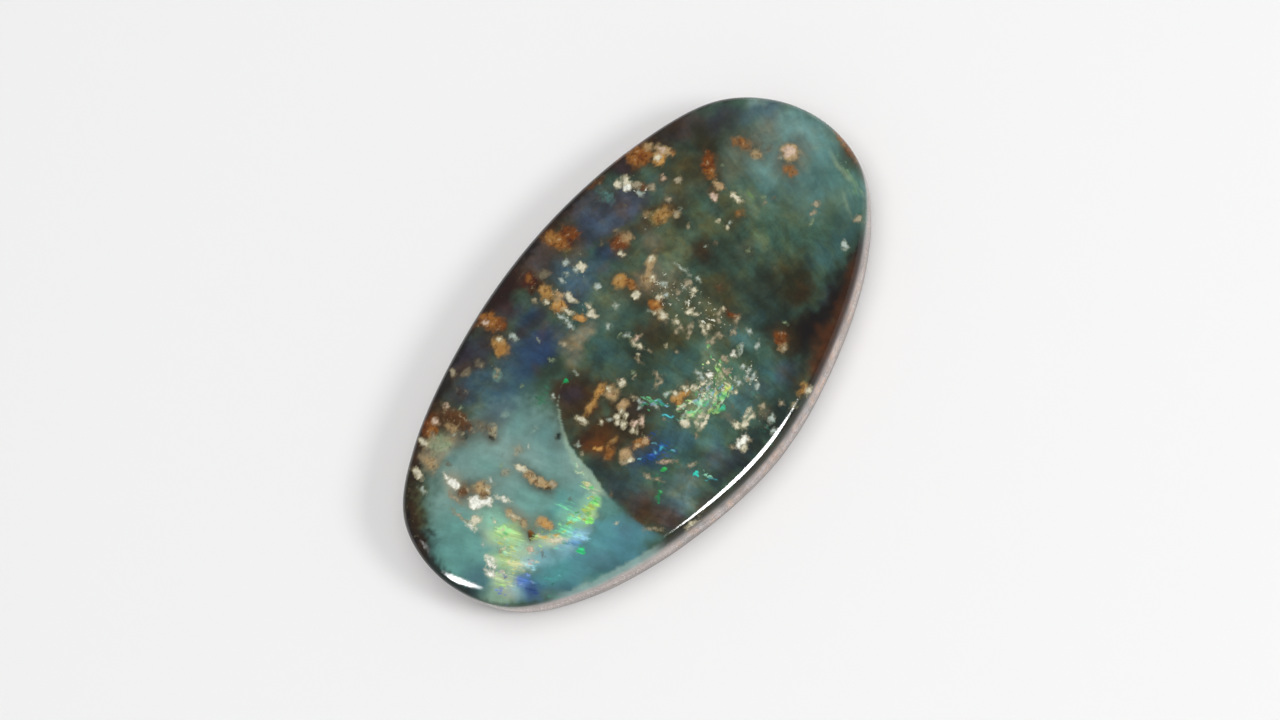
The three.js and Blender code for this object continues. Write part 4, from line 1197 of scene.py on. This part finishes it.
    def speck_density(self):
        density = np.zeros(len(self.x))
        for *ellipse, strength in SPECK_CLOUDS:
            share = spread(self.bent_x, self.bent_y, *ellipse)
            density = np.maximum(density, strength * smoothstep(*CLOUD_FADE, share))
        return density


def glints():
    """Small bright flashes scattered along the glint paths, the same on every run."""
    random = np.random.RandomState(GLINT_SEED)
    flashes = []
    for start_x, start_y, end_x, end_y, width, count, turn, shades in GLINT_PATHS:
        for _ in range(count):
            share = random.uniform()
            shade = np.array(GLINT_SHADES[shades[random.randint(len(shades))]], float)
            size = random.uniform(*GLINT_SIZE)
            flashes.append((
                tuple(shade * random.uniform(*GLINT_BRIGHTNESS)),
                start_x + (end_x - start_x) * share + random.normal() * width / 2,
                start_y + (end_y - start_y) * share + random.normal() * width / 2,
                size * random.uniform(*GLINT_LENGTH),
                size,
                turn + random.uniform(*GLINT_TURN),
                random.uniform(*GLINT_STRENGTH),
            ))
    return flashes


def laid_crumbs():
    """The listed crumbs, each with its ink."""
    return [(name, *crumb) for name, crumbs in CRUMBS.items() for crumb in crumbs]


def scattered_crumbs():
    """Small crumbs over the whole face, the same on every run."""
    random = np.random.RandomState(SPECK_SEED)
    crumbs = []
    for _ in range(SPECK_COUNT):
        radius, angle = math.sqrt(random.uniform()), random.uniform(0, 2 * math.pi)
        size = random.uniform(*SPECK_SIZE)
        crumbs.append((
            SPECK_INKS[random.randint(len(SPECK_INKS))],
            radius * math.cos(angle) * SPECK_REACH[0],
            radius * math.sin(angle) * SPECK_REACH[1],
            size * random.uniform(*SPECK_LENGTH),
            size,
            random.uniform(0, 180),
        ))
    return crumbs


# Materials

# Colours of the stone's material, all linear
WARM_TINT = (1.32, 0.96, 0.66, 1.0)
COOL_TINT = (0.84, 1.0, 1.14, 1.0)
HOLLOW_TINT = (0.46, 0.4, 0.34, 1.0)
BRIGHT_TINT = (1.06, 1.08, 0.98, 1.0)
PALE_FLAKE = (0.66, 0.56, 0.34, 1.0)
DARK_SPECK = (0.3, 0.28, 0.17, 1.0)
PALE_SPECK = (0.78, 0.78, 0.64, 1.0)
FRINGE_TINT = (0.74, 0.7, 0.58, 1.0)

# How much each effect covers or changes what lies under it
WARM_SHARE = 0.75
COOL_SHARE = 0.6
FLAKE_SHARE = 0.8
SPECK_BAR = 0.86
SPECK_BAR_DROP = 0.32
SPECK_COVER = 0.85
CRUMB_RAGGED = 0.24
CRUMB_COVER = 0.94
FLASH_BREAK = 2.4
FLASH_LOSS_ON_CRUMB = 0.7

# The surface: roughness, and relief whose depth is in metres
OPAL_IOR = 1.45
POLISHED = 0.035
POLISHED_GRAIN = 0.07
POLISHED_CRUMB = 0.08
WALL_SMOOTH = 0.12
WALL_ROUGH = 0.3
RELIEF_STRENGTH = 0.25
RELIEF_DEPTH = 0.00002
CRUMB_RELIEF = 0.25
PIT_RELIEF = 0.5
WALL_PIT_RELIEF = 0.9


def grey(level):
    return (level, level, level, 1.0)


class Nodes:
    """A short way to write a node tree."""

    def __init__(self, material):
        material.use_nodes = True
        self.tree = material.node_tree
        self.tree.nodes.clear()

    def plug(self, socket, value):
        if isinstance(value, bpy.types.NodeSocket):
            self.tree.links.new(value, socket)
        else:
            socket.default_value = value

    def new(self, kind, inputs=None, **settings):
        node = self.tree.nodes.new(kind)
        for name, value in settings.items():
            setattr(node, name, value)
        for name, value in (inputs or {}).items():
            self.plug(node.inputs[name], value)
        return node

    def math(self, operation, first, second=0.0, third=0.0):
        return self.new("ShaderNodeMath", {0: first, 1: second, 2: third}, operation=operation).outputs[0]

    def weigh(self, first, second, share):
        """Mean of two numbers in which the first has the given share."""
        second = self.math("MULTIPLY", second, 1 - share)
        return self.math("MULTIPLY_ADD", first, share, second)

    def remap(self, value, low, high, to_low=0.0, to_high=1.0):
        inputs = {"Value": value, "From Min": low, "From Max": high, "To Min": to_low, "To Max": to_high}
        return self.new("ShaderNodeMapRange", inputs, interpolation_type="SMOOTHSTEP").outputs["Result"]

    def mix(self, factor, first, second, blend="MIX"):
        node = self.new("ShaderNodeMix", data_type="RGBA", blend_type=blend, clamp_factor=True)
        self.plug(node.inputs[0], factor)
        self.plug(node.inputs[6], first)
        self.plug(node.inputs[7], second)
        return node.outputs[2]

    def tint(self, colour, factor):
        return self.mix(1.0, colour, factor, "MULTIPLY")

    def tone(self, colour, pattern, dark, light, low=0.3, high=0.7):
        """The colour, darkened and lightened as the pattern goes from low to high."""
        return self.tint(colour, self.mix(self.remap(pattern, low, high), grey(dark), grey(light)))

    def noise(self, vector, scale, detail, roughness=0.6, distortion=0.0):
        return self.new("ShaderNodeTexNoise", {
            "Vector": vector,
            "Scale": scale,
            "Detail": detail,
            "Roughness": roughness,
            "Distortion": distortion,
        }).outputs["Fac"]

    def vector(self, operation, first, second):
        return self.new("ShaderNodeVectorMath", {0: first, 1: second}, operation=operation).outputs[0]

    def colour_field(self, name):
        return self.new("ShaderNodeAttribute", attribute_name=name).outputs["Color"]

    def number_field(self, name):
        return self.new("ShaderNodeAttribute", attribute_name=name).outputs["Fac"]


class OpalNodes(Nodes):
    """The parts of the stone's material, which read the mesh's fields."""

    def __init__(self, material):
        super().__init__(material)
        place = self.new("ShaderNodeTexCoord").outputs["Object"]
        self.place = self.vector("MULTIPLY", place, (1 / MM, 1 / MM, 1 / MM))
        # Coordinates that follow the feathering: across the streaks, and along them
        away = self.vector("SUBTRACT", self.place, (*FEATHER_FOCUS, 0.0))
        away = self.vector("MULTIPLY", away, (1.0, 1.0, 0.0))
        parts = self.new("ShaderNodeSeparateXYZ", {0: away}).outputs
        self.across = self.math("MULTIPLY", self.math("ARCTAN2", parts[0], parts[1]), FEATHER_REACH)
        self.along = self.new("ShaderNodeVectorMath", {0: away}, operation="LENGTH").outputs["Value"]
        self.side = self.number_field("side")
        self.grain = self.lumps(5.0, detail=4.0)
        self.pits = self.lumps(14.0, detail=3.0)

    def lumps(self, scale, detail, roughness=0.6, distortion=0.0):
        """Noise with about the given number of lumps to the millimetre."""
        return self.noise(self.place, scale, detail, roughness, distortion)

    def streaks(self, width, length, seed, detail=3.0):
        """Noise drawn out along the feathering, width and length in millimetres."""
        where = self.new("ShaderNodeCombineXYZ", {
            0: self.math("MULTIPLY", self.across, 1 / width),
            1: self.math("MULTIPLY", self.along, 1 / length),
            2: seed,
        }).outputs[0]
        return self.noise(where, 1.0, detail)

    def cloudy_opal(self):
        """Cloudy, softly streaked opal, calmer in the milky lobe."""
        clear = self.colour_field("body")
        cloud = self.lumps(1.1, detail=5.0, distortion=0.5)
        feather = self.streaks(0.5, 2.0, seed=3.0, detail=4.0)
        lively = self.tone(clear, cloud, 0.68, 1.3)
        lively = self.tone(lively, feather, 0.8, 1.2)
        warmth = self.weigh(self.streaks(0.6, 1.6, seed=11.0), self.lumps(1.9, detail=4.0), 0.5)
        warm = self.remap(warmth, 0.46, 0.62, 0.0, WARM_SHARE)
        lively = self.mix(warm, lively, self.tint(lively, WARM_TINT))
        cool = self.remap(warmth, 0.5, 0.36, 0.0, COOL_SHARE)
        lively = self.mix(cool, lively, self.tint(lively, COOL_TINT))
        lively = self.tone(lively, self.grain, 0.92, 1.08)
        soft = self.tone(clear, cloud, 0.9, 1.1)
        soft = self.tone(soft, feather, 0.9, 1.1)
        return self.mix(self.number_field("calm"), lively, soft)

    def rusty_stains(self, body):
        """Rusty stains, with dark hollows and pale flakes."""
        stain = self.colour_field("stain")
        crust = self.lumps(3.6, detail=4.0, roughness=0.62)
        flakes = self.lumps(4.4, detail=4.0, distortion=0.4)
        edge = self.math("SUBTRACT", crust, 0.5)
        stained = self.remap(self.math("ADD", self.number_field("stain_cover"), edge), 0.0, 1.0)
        pale = self.mix(0.45, stain, PALE_FLAKE)
        hollow, bright = self.tint(stain, HOLLOW_TINT), self.tint(stain, BRIGHT_TINT)
        stain = self.mix(self.remap(flakes, 0.34, 0.52), hollow, bright)
        stain = self.mix(self.remap(flakes, 0.56, 0.7, 0.0, FLAKE_SHARE), stain, pale)
        return self.mix(stained, body, stain)

    def fine_specks(self, body):
        """Fine specks, thick in the clouds and missing outside them."""
        speckle = self.lumps(6.6, detail=2.0, distortion=0.3)
        drop = self.math("MULTIPLY", self.number_field("specks"), SPECK_BAR_DROP)
        bar = self.math("SUBTRACT", SPECK_BAR, drop)
        speck = self.remap(self.math("SUBTRACT", speckle, bar), 0.0, 0.07)
        colour = self.mix(self.remap(self.lumps(3.7, detail=2.0), 0.4, 0.6), DARK_SPECK, PALE_SPECK)
        return self.mix(self.math("MULTIPLY", speck, SPECK_COVER), body, colour)

    def crumbs(self, body):
        """Crumbs, ragged and tan at their edges, and where they lie."""
        colour = self.colour_field("crumb_colour")
        lumps = self.lumps(7.0, detail=3.0, roughness=0.65)
        ragged = self.math("MULTIPLY_ADD", lumps, CRUMB_RAGGED, -CRUMB_RAGGED / 2)
        deep = self.math("ADD", self.number_field("crumb_depth"), ragged)
        crumb = self.remap(deep, -0.095, 0.06)
        colour = self.mix(self.remap(deep, -0.03, 0.05), self.tint(colour, FRINGE_TINT), colour)
        colour = self.tone(colour, self.lumps(5.5, detail=4.0, roughness=0.7), 0.76, 1.22)
        return self.mix(self.math("MULTIPLY", crumb, CRUMB_COVER), body, colour), crumb

    def flashes(self, colour, crumb):
        """Flashes of colour, broken into fine streaks and weaker on the crumbs."""
        cover = self.number_field("flash_cover")
        lumps = self.lumps(7.0, detail=2.0, roughness=0.55)
        rays = self.weigh(self.streaks(0.1, 0.9, seed=21.0), lumps, 0.7)
        broken = self.math("MULTIPLY", self.math("SUBTRACT", rays, 0.5), FLASH_BREAK)
        lit = self.remap(self.math("ADD", cover, broken), 0.3, 0.85)
        lit = self.math("MULTIPLY", lit, self.remap(cover, 0.02, 0.3))
        loss = self.math("MULTIPLY", crumb, FLASH_LOSS_ON_CRUMB)
        lit = self.math("MULTIPLY", lit, self.math("SUBTRACT", 1.0, loss))
        glow = self.streaks(0.16, 1.0, seed=29.0)
        flash = self.tone(self.colour_field("flash"), glow, 0.7, 1.25, low=0.35, high=0.65)
        return self.mix(lit, colour, flash)

    def roughness(self, crumb):
        """A high polish, duller on crumbs and in the grain, and satin on the side wall."""
        rough = self.mix(crumb, grey(POLISHED), grey(POLISHED_CRUMB))
        rough = self.mix(self.remap(self.grain, 0.45, 0.8, 0.0, 0.5), rough, grey(POLISHED_GRAIN))
        wall = self.mix(self.remap(self.pits, 0.35, 0.65), grey(WALL_SMOOTH), grey(WALL_ROUGH))
        return self.mix(self.side, rough, wall)

    def relief(self, crumb):
        """Crumbs that stand a little proud, and fine pits that are deeper on the side wall."""
        depth = self.math("MULTIPLY_ADD", self.side, WALL_PIT_RELIEF, PIT_RELIEF)
        height = self.math("MULTIPLY_ADD", crumb, CRUMB_RELIEF, self.math("MULTIPLY", self.pits, depth))
        inputs = {"Strength": RELIEF_STRENGTH, "Distance": RELIEF_DEPTH, "Height": height}
        return self.new("ShaderNodeBump", inputs).outputs["Normal"]


def opal_material():
    material = bpy.data.materials.new(SLOT)
    n = OpalNodes(material)
    body = n.cloudy_opal()
    body = n.rusty_stains(body)
    body = n.fine_specks(body)
    colour, crumb = n.crumbs(body)
    colour = n.flashes(colour, crumb)
    shader = n.new("ShaderNodeBsdfPrincipled", {
        "Base Color": colour,
        "Roughness": n.roughness(crumb),
        "IOR": OPAL_IOR,
        "Normal": n.relief(crumb),
    })
    n.new("ShaderNodeOutputMaterial", {"Surface": shader.outputs[0]})
    return material


# The stone in the scene

# The side wall: depths below the girdle between which ironstone takes the place of the face's
# colours, and heights between which it darkens towards the back. Its upper colour is pale ironstone
# lightened by a painted reflection of the white floor in its polish.
PALE_WALL_AND_FLOOR_REFLECTION = (172, 157, 150)
WALL_FOOT_COLOUR = (84, 62, 48)
WALL_FADE = (0.05, 0.5)
WALL_FOOT = (1.4, 0.4)
WALL_LUMPS_ROUND = 8
WALL_SEED = 31


def side_wall(x, y, z):
    """Colour of the ironstone, paler above with a painted reflection of the floor, and how far it takes the
    place of the face's colours.
    """
    noise = Noise(WALL_SEED)
    around = np.arctan2(y, x) * WALL_LUMPS_ROUND
    start, end = (GIRDLE_HEIGHT - depth for depth in WALL_FADE)
    fade = smoothstep(start, end, z + 0.12 * noise.layers(around, z, 1.5))
    strata = noise.layers(around * 0.6, z * 3.0, 1.2)
    # The upper wall: ironstone colour, partly a painted reflection of the white floor
    upper = srgb(*PALE_WALL_AND_FLOOR_REFLECTION) * (1 + 0.35 * strata[:, None])
    lower = srgb(*WALL_FOOT_COLOUR) * (1 + 0.3 * strata[:, None])
    return cover_with(upper, lower, smoothstep(*WALL_FOOT, z + 0.25 * strata)), fade


def store(mesh, colours, numbers):
    """Puts the fields that the material reads into the mesh."""
    for name, values in colours.items():
        field = mesh.attributes.new(name, "FLOAT_COLOR", "POINT")
        with_alpha = np.column_stack([values, np.ones(len(values))])
        field.data.foreach_set("color", with_alpha.astype(np.float32).ravel())
    for name, values in numbers.items():
        field = mesh.attributes.new(name, "FLOAT", "POINT")
        field.data.foreach_set("value", values.astype(np.float32))


def make_opal():
    places, inset, faces = make_stone()
    mesh = bpy.data.meshes.new("polished_opal")
    mesh.from_pydata((places * MM).tolist(), [], faces)
    mesh.validate()
    mesh.shade_smooth()
    mesh.set_sharp_from_angle(angle=math.radians(SHARP_ANGLE))

    x, y, z = places.T
    pattern = Pattern(x, y, inset)
    body = pattern.body()
    crumb_depth, crumb_colour = pattern.crumbs(laid_crumbs() + scattered_crumbs())
    stain, stain_cover = pattern.stains()
    flash, flash_cover = pattern.flashes()
    # ironstone: the wall's colour, its pale upper part partly a painted reflection of the floor
    ironstone, fade = side_wall(x, y, z)
    face = 1 - fade

    colours = {
        "body": cover_with(body, ironstone, fade),
        "crumb_colour": crumb_colour,
        "stain": stain,
        "flash": flash,
    }
    numbers = {
        "crumb_depth": np.where(fade > 0.5, NO_CRUMB, crumb_depth),
        "stain_cover": stain_cover * face,
        "flash_cover": flash_cover * face,
        "side": fade,
        "calm": pattern.calm,
        "specks": pattern.speck_density() * face,
    }
    store(mesh, colours, numbers)

    opal = bpy.data.objects.new("polished_opal", mesh)
    bpy.context.scene.collection.objects.link(opal)
    mesh.materials.append(opal_material())
    return opal


# Studio

FLOOR_SIZE = 3.0
FLOOR_LEVEL = 0.9
FLOOR_ROUGHNESS = 0.9
CAMERA_TILT = 21.0
CAMERA_LEAN = -99.25
PICTURE_UP = 40.75
CAMERA_AIM = Vector((-0.2, -0.2, 2.9)) * MM
CAMERA_DISTANCE = 0.216
CAMERA_LENS = 150.0
CAMERA_SENSOR = 36.0
CAMERA_RANGE = (0.005, 20.0)
WORLD_LEVEL = 0.41

# Lights: direction from +X and tilt from straight up in degrees, distance and size in metres. The
# lights give each its share of the floor's brightness and are not seen in the polish. The highlights
# are seen only there, each as bright as its radiance.
LIGHTS = [
    {"name": "key", "turn": -65, "tilt": 47, "distance": 0.4, "size": (0.11, 0.11), "share": 0.22},
    {"name": "fill", "turn": -65, "tilt": 6, "distance": 0.6, "size": (0.5, 0.5), "share": 0.45},
]
HIGHLIGHTS = [
    {"name": "streak", "turn": -91.5, "tilt": 62, "distance": 0.4, "size": (0.21, 0.23), "radiance": 57},
    {"name": "lozenge", "turn": 160, "tilt": 50, "distance": 0.4, "size": (0.036, 0.19), "radiance": 75},
]


def direction(turn, tilt):
    a, t = math.radians(turn), math.radians(tilt)
    return Vector((math.cos(a) * math.sin(t), math.sin(a) * math.sin(t), math.cos(t)))


def add_light(spec, power, for_gloss):
    data = bpy.data.lights.new(spec["name"], "AREA")
    data.shape = "ELLIPSE"
    data.size, data.size_y = spec["size"]
    data.energy = power
    light = bpy.data.objects.new(spec["name"], data)
    towards = direction(spec["turn"], spec["tilt"])
    level = Vector((0, 0, 1)).cross(towards).normalized()
    light.location = towards * spec["distance"]
    light.rotation_mode = "QUATERNION"
    light.rotation_quaternion = Matrix((level, towards.cross(level), towards)).transposed().to_quaternion()
    light.visible_camera = False
    light.visible_glossy = for_gloss
    light.visible_diffuse = not for_gloss
    bpy.context.scene.collection.objects.link(light)


def add_lights():
    for spec in LIGHTS:
        power = spec["share"] * math.pi ** 2 * spec["distance"] ** 2 / math.cos(math.radians(spec["tilt"]))
        add_light(spec, power, False)
    for spec in HIGHLIGHTS:
        length, width = spec["size"]
        add_light(spec, spec["radiance"] * math.pi * (math.pi / 4 * length * width), True)


def add_floor():
    mesh = bpy.data.meshes.new("floor")
    half = FLOOR_SIZE / 2
    corners = [(-half, -half, 0), (half, -half, 0), (half, half, 0), (-half, half, 0)]
    mesh.from_pydata(corners, [], [range(4)])
    floor = bpy.data.objects.new("floor", mesh)
    bpy.context.scene.collection.objects.link(floor)
    material = bpy.data.materials.new("floor")
    n = Nodes(material)
    shader = n.new("ShaderNodeBsdfPrincipled", {
        "Base Color": grey(FLOOR_LEVEL),
        "Roughness": FLOOR_ROUGHNESS,
        "Specular IOR Level": 0.0,
    })
    n.new("ShaderNodeOutputMaterial", {"Surface": shader.outputs[0]})
    mesh.materials.append(material)


def add_world():
    world = bpy.data.worlds.new("studio")
    world.use_nodes = True
    background = world.node_tree.nodes["Background"]
    background.inputs["Color"].default_value = grey(1.0)
    background.inputs["Strength"].default_value = WORLD_LEVEL
    bpy.context.scene.world = world
    bpy.context.scene.view_settings.view_transform = "Standard"


def add_camera():
    back = direction(CAMERA_LEAN, CAMERA_TILT)
    turn = math.radians(PICTURE_UP)
    up = Vector((math.cos(turn), math.sin(turn), 0))
    up = (up - back * up.dot(back)).normalized()
    data = bpy.data.cameras.new("camera")
    data.sensor_width = CAMERA_SENSOR
    data.lens = CAMERA_LENS
    data.clip_start, data.clip_end = CAMERA_RANGE
    camera = bpy.data.objects.new("camera", data)
    turned = Matrix((up.cross(back), up, back)).transposed().to_4x4()
    camera.matrix_world = Matrix.Translation(CAMERA_AIM + back * CAMERA_DISTANCE) @ turned
    bpy.context.scene.collection.objects.link(camera)
    bpy.context.scene.camera = camera


opal = make_opal()
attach(opal, "root")
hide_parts(NODE)
add_lights()
add_floor()
add_world()
add_camera()
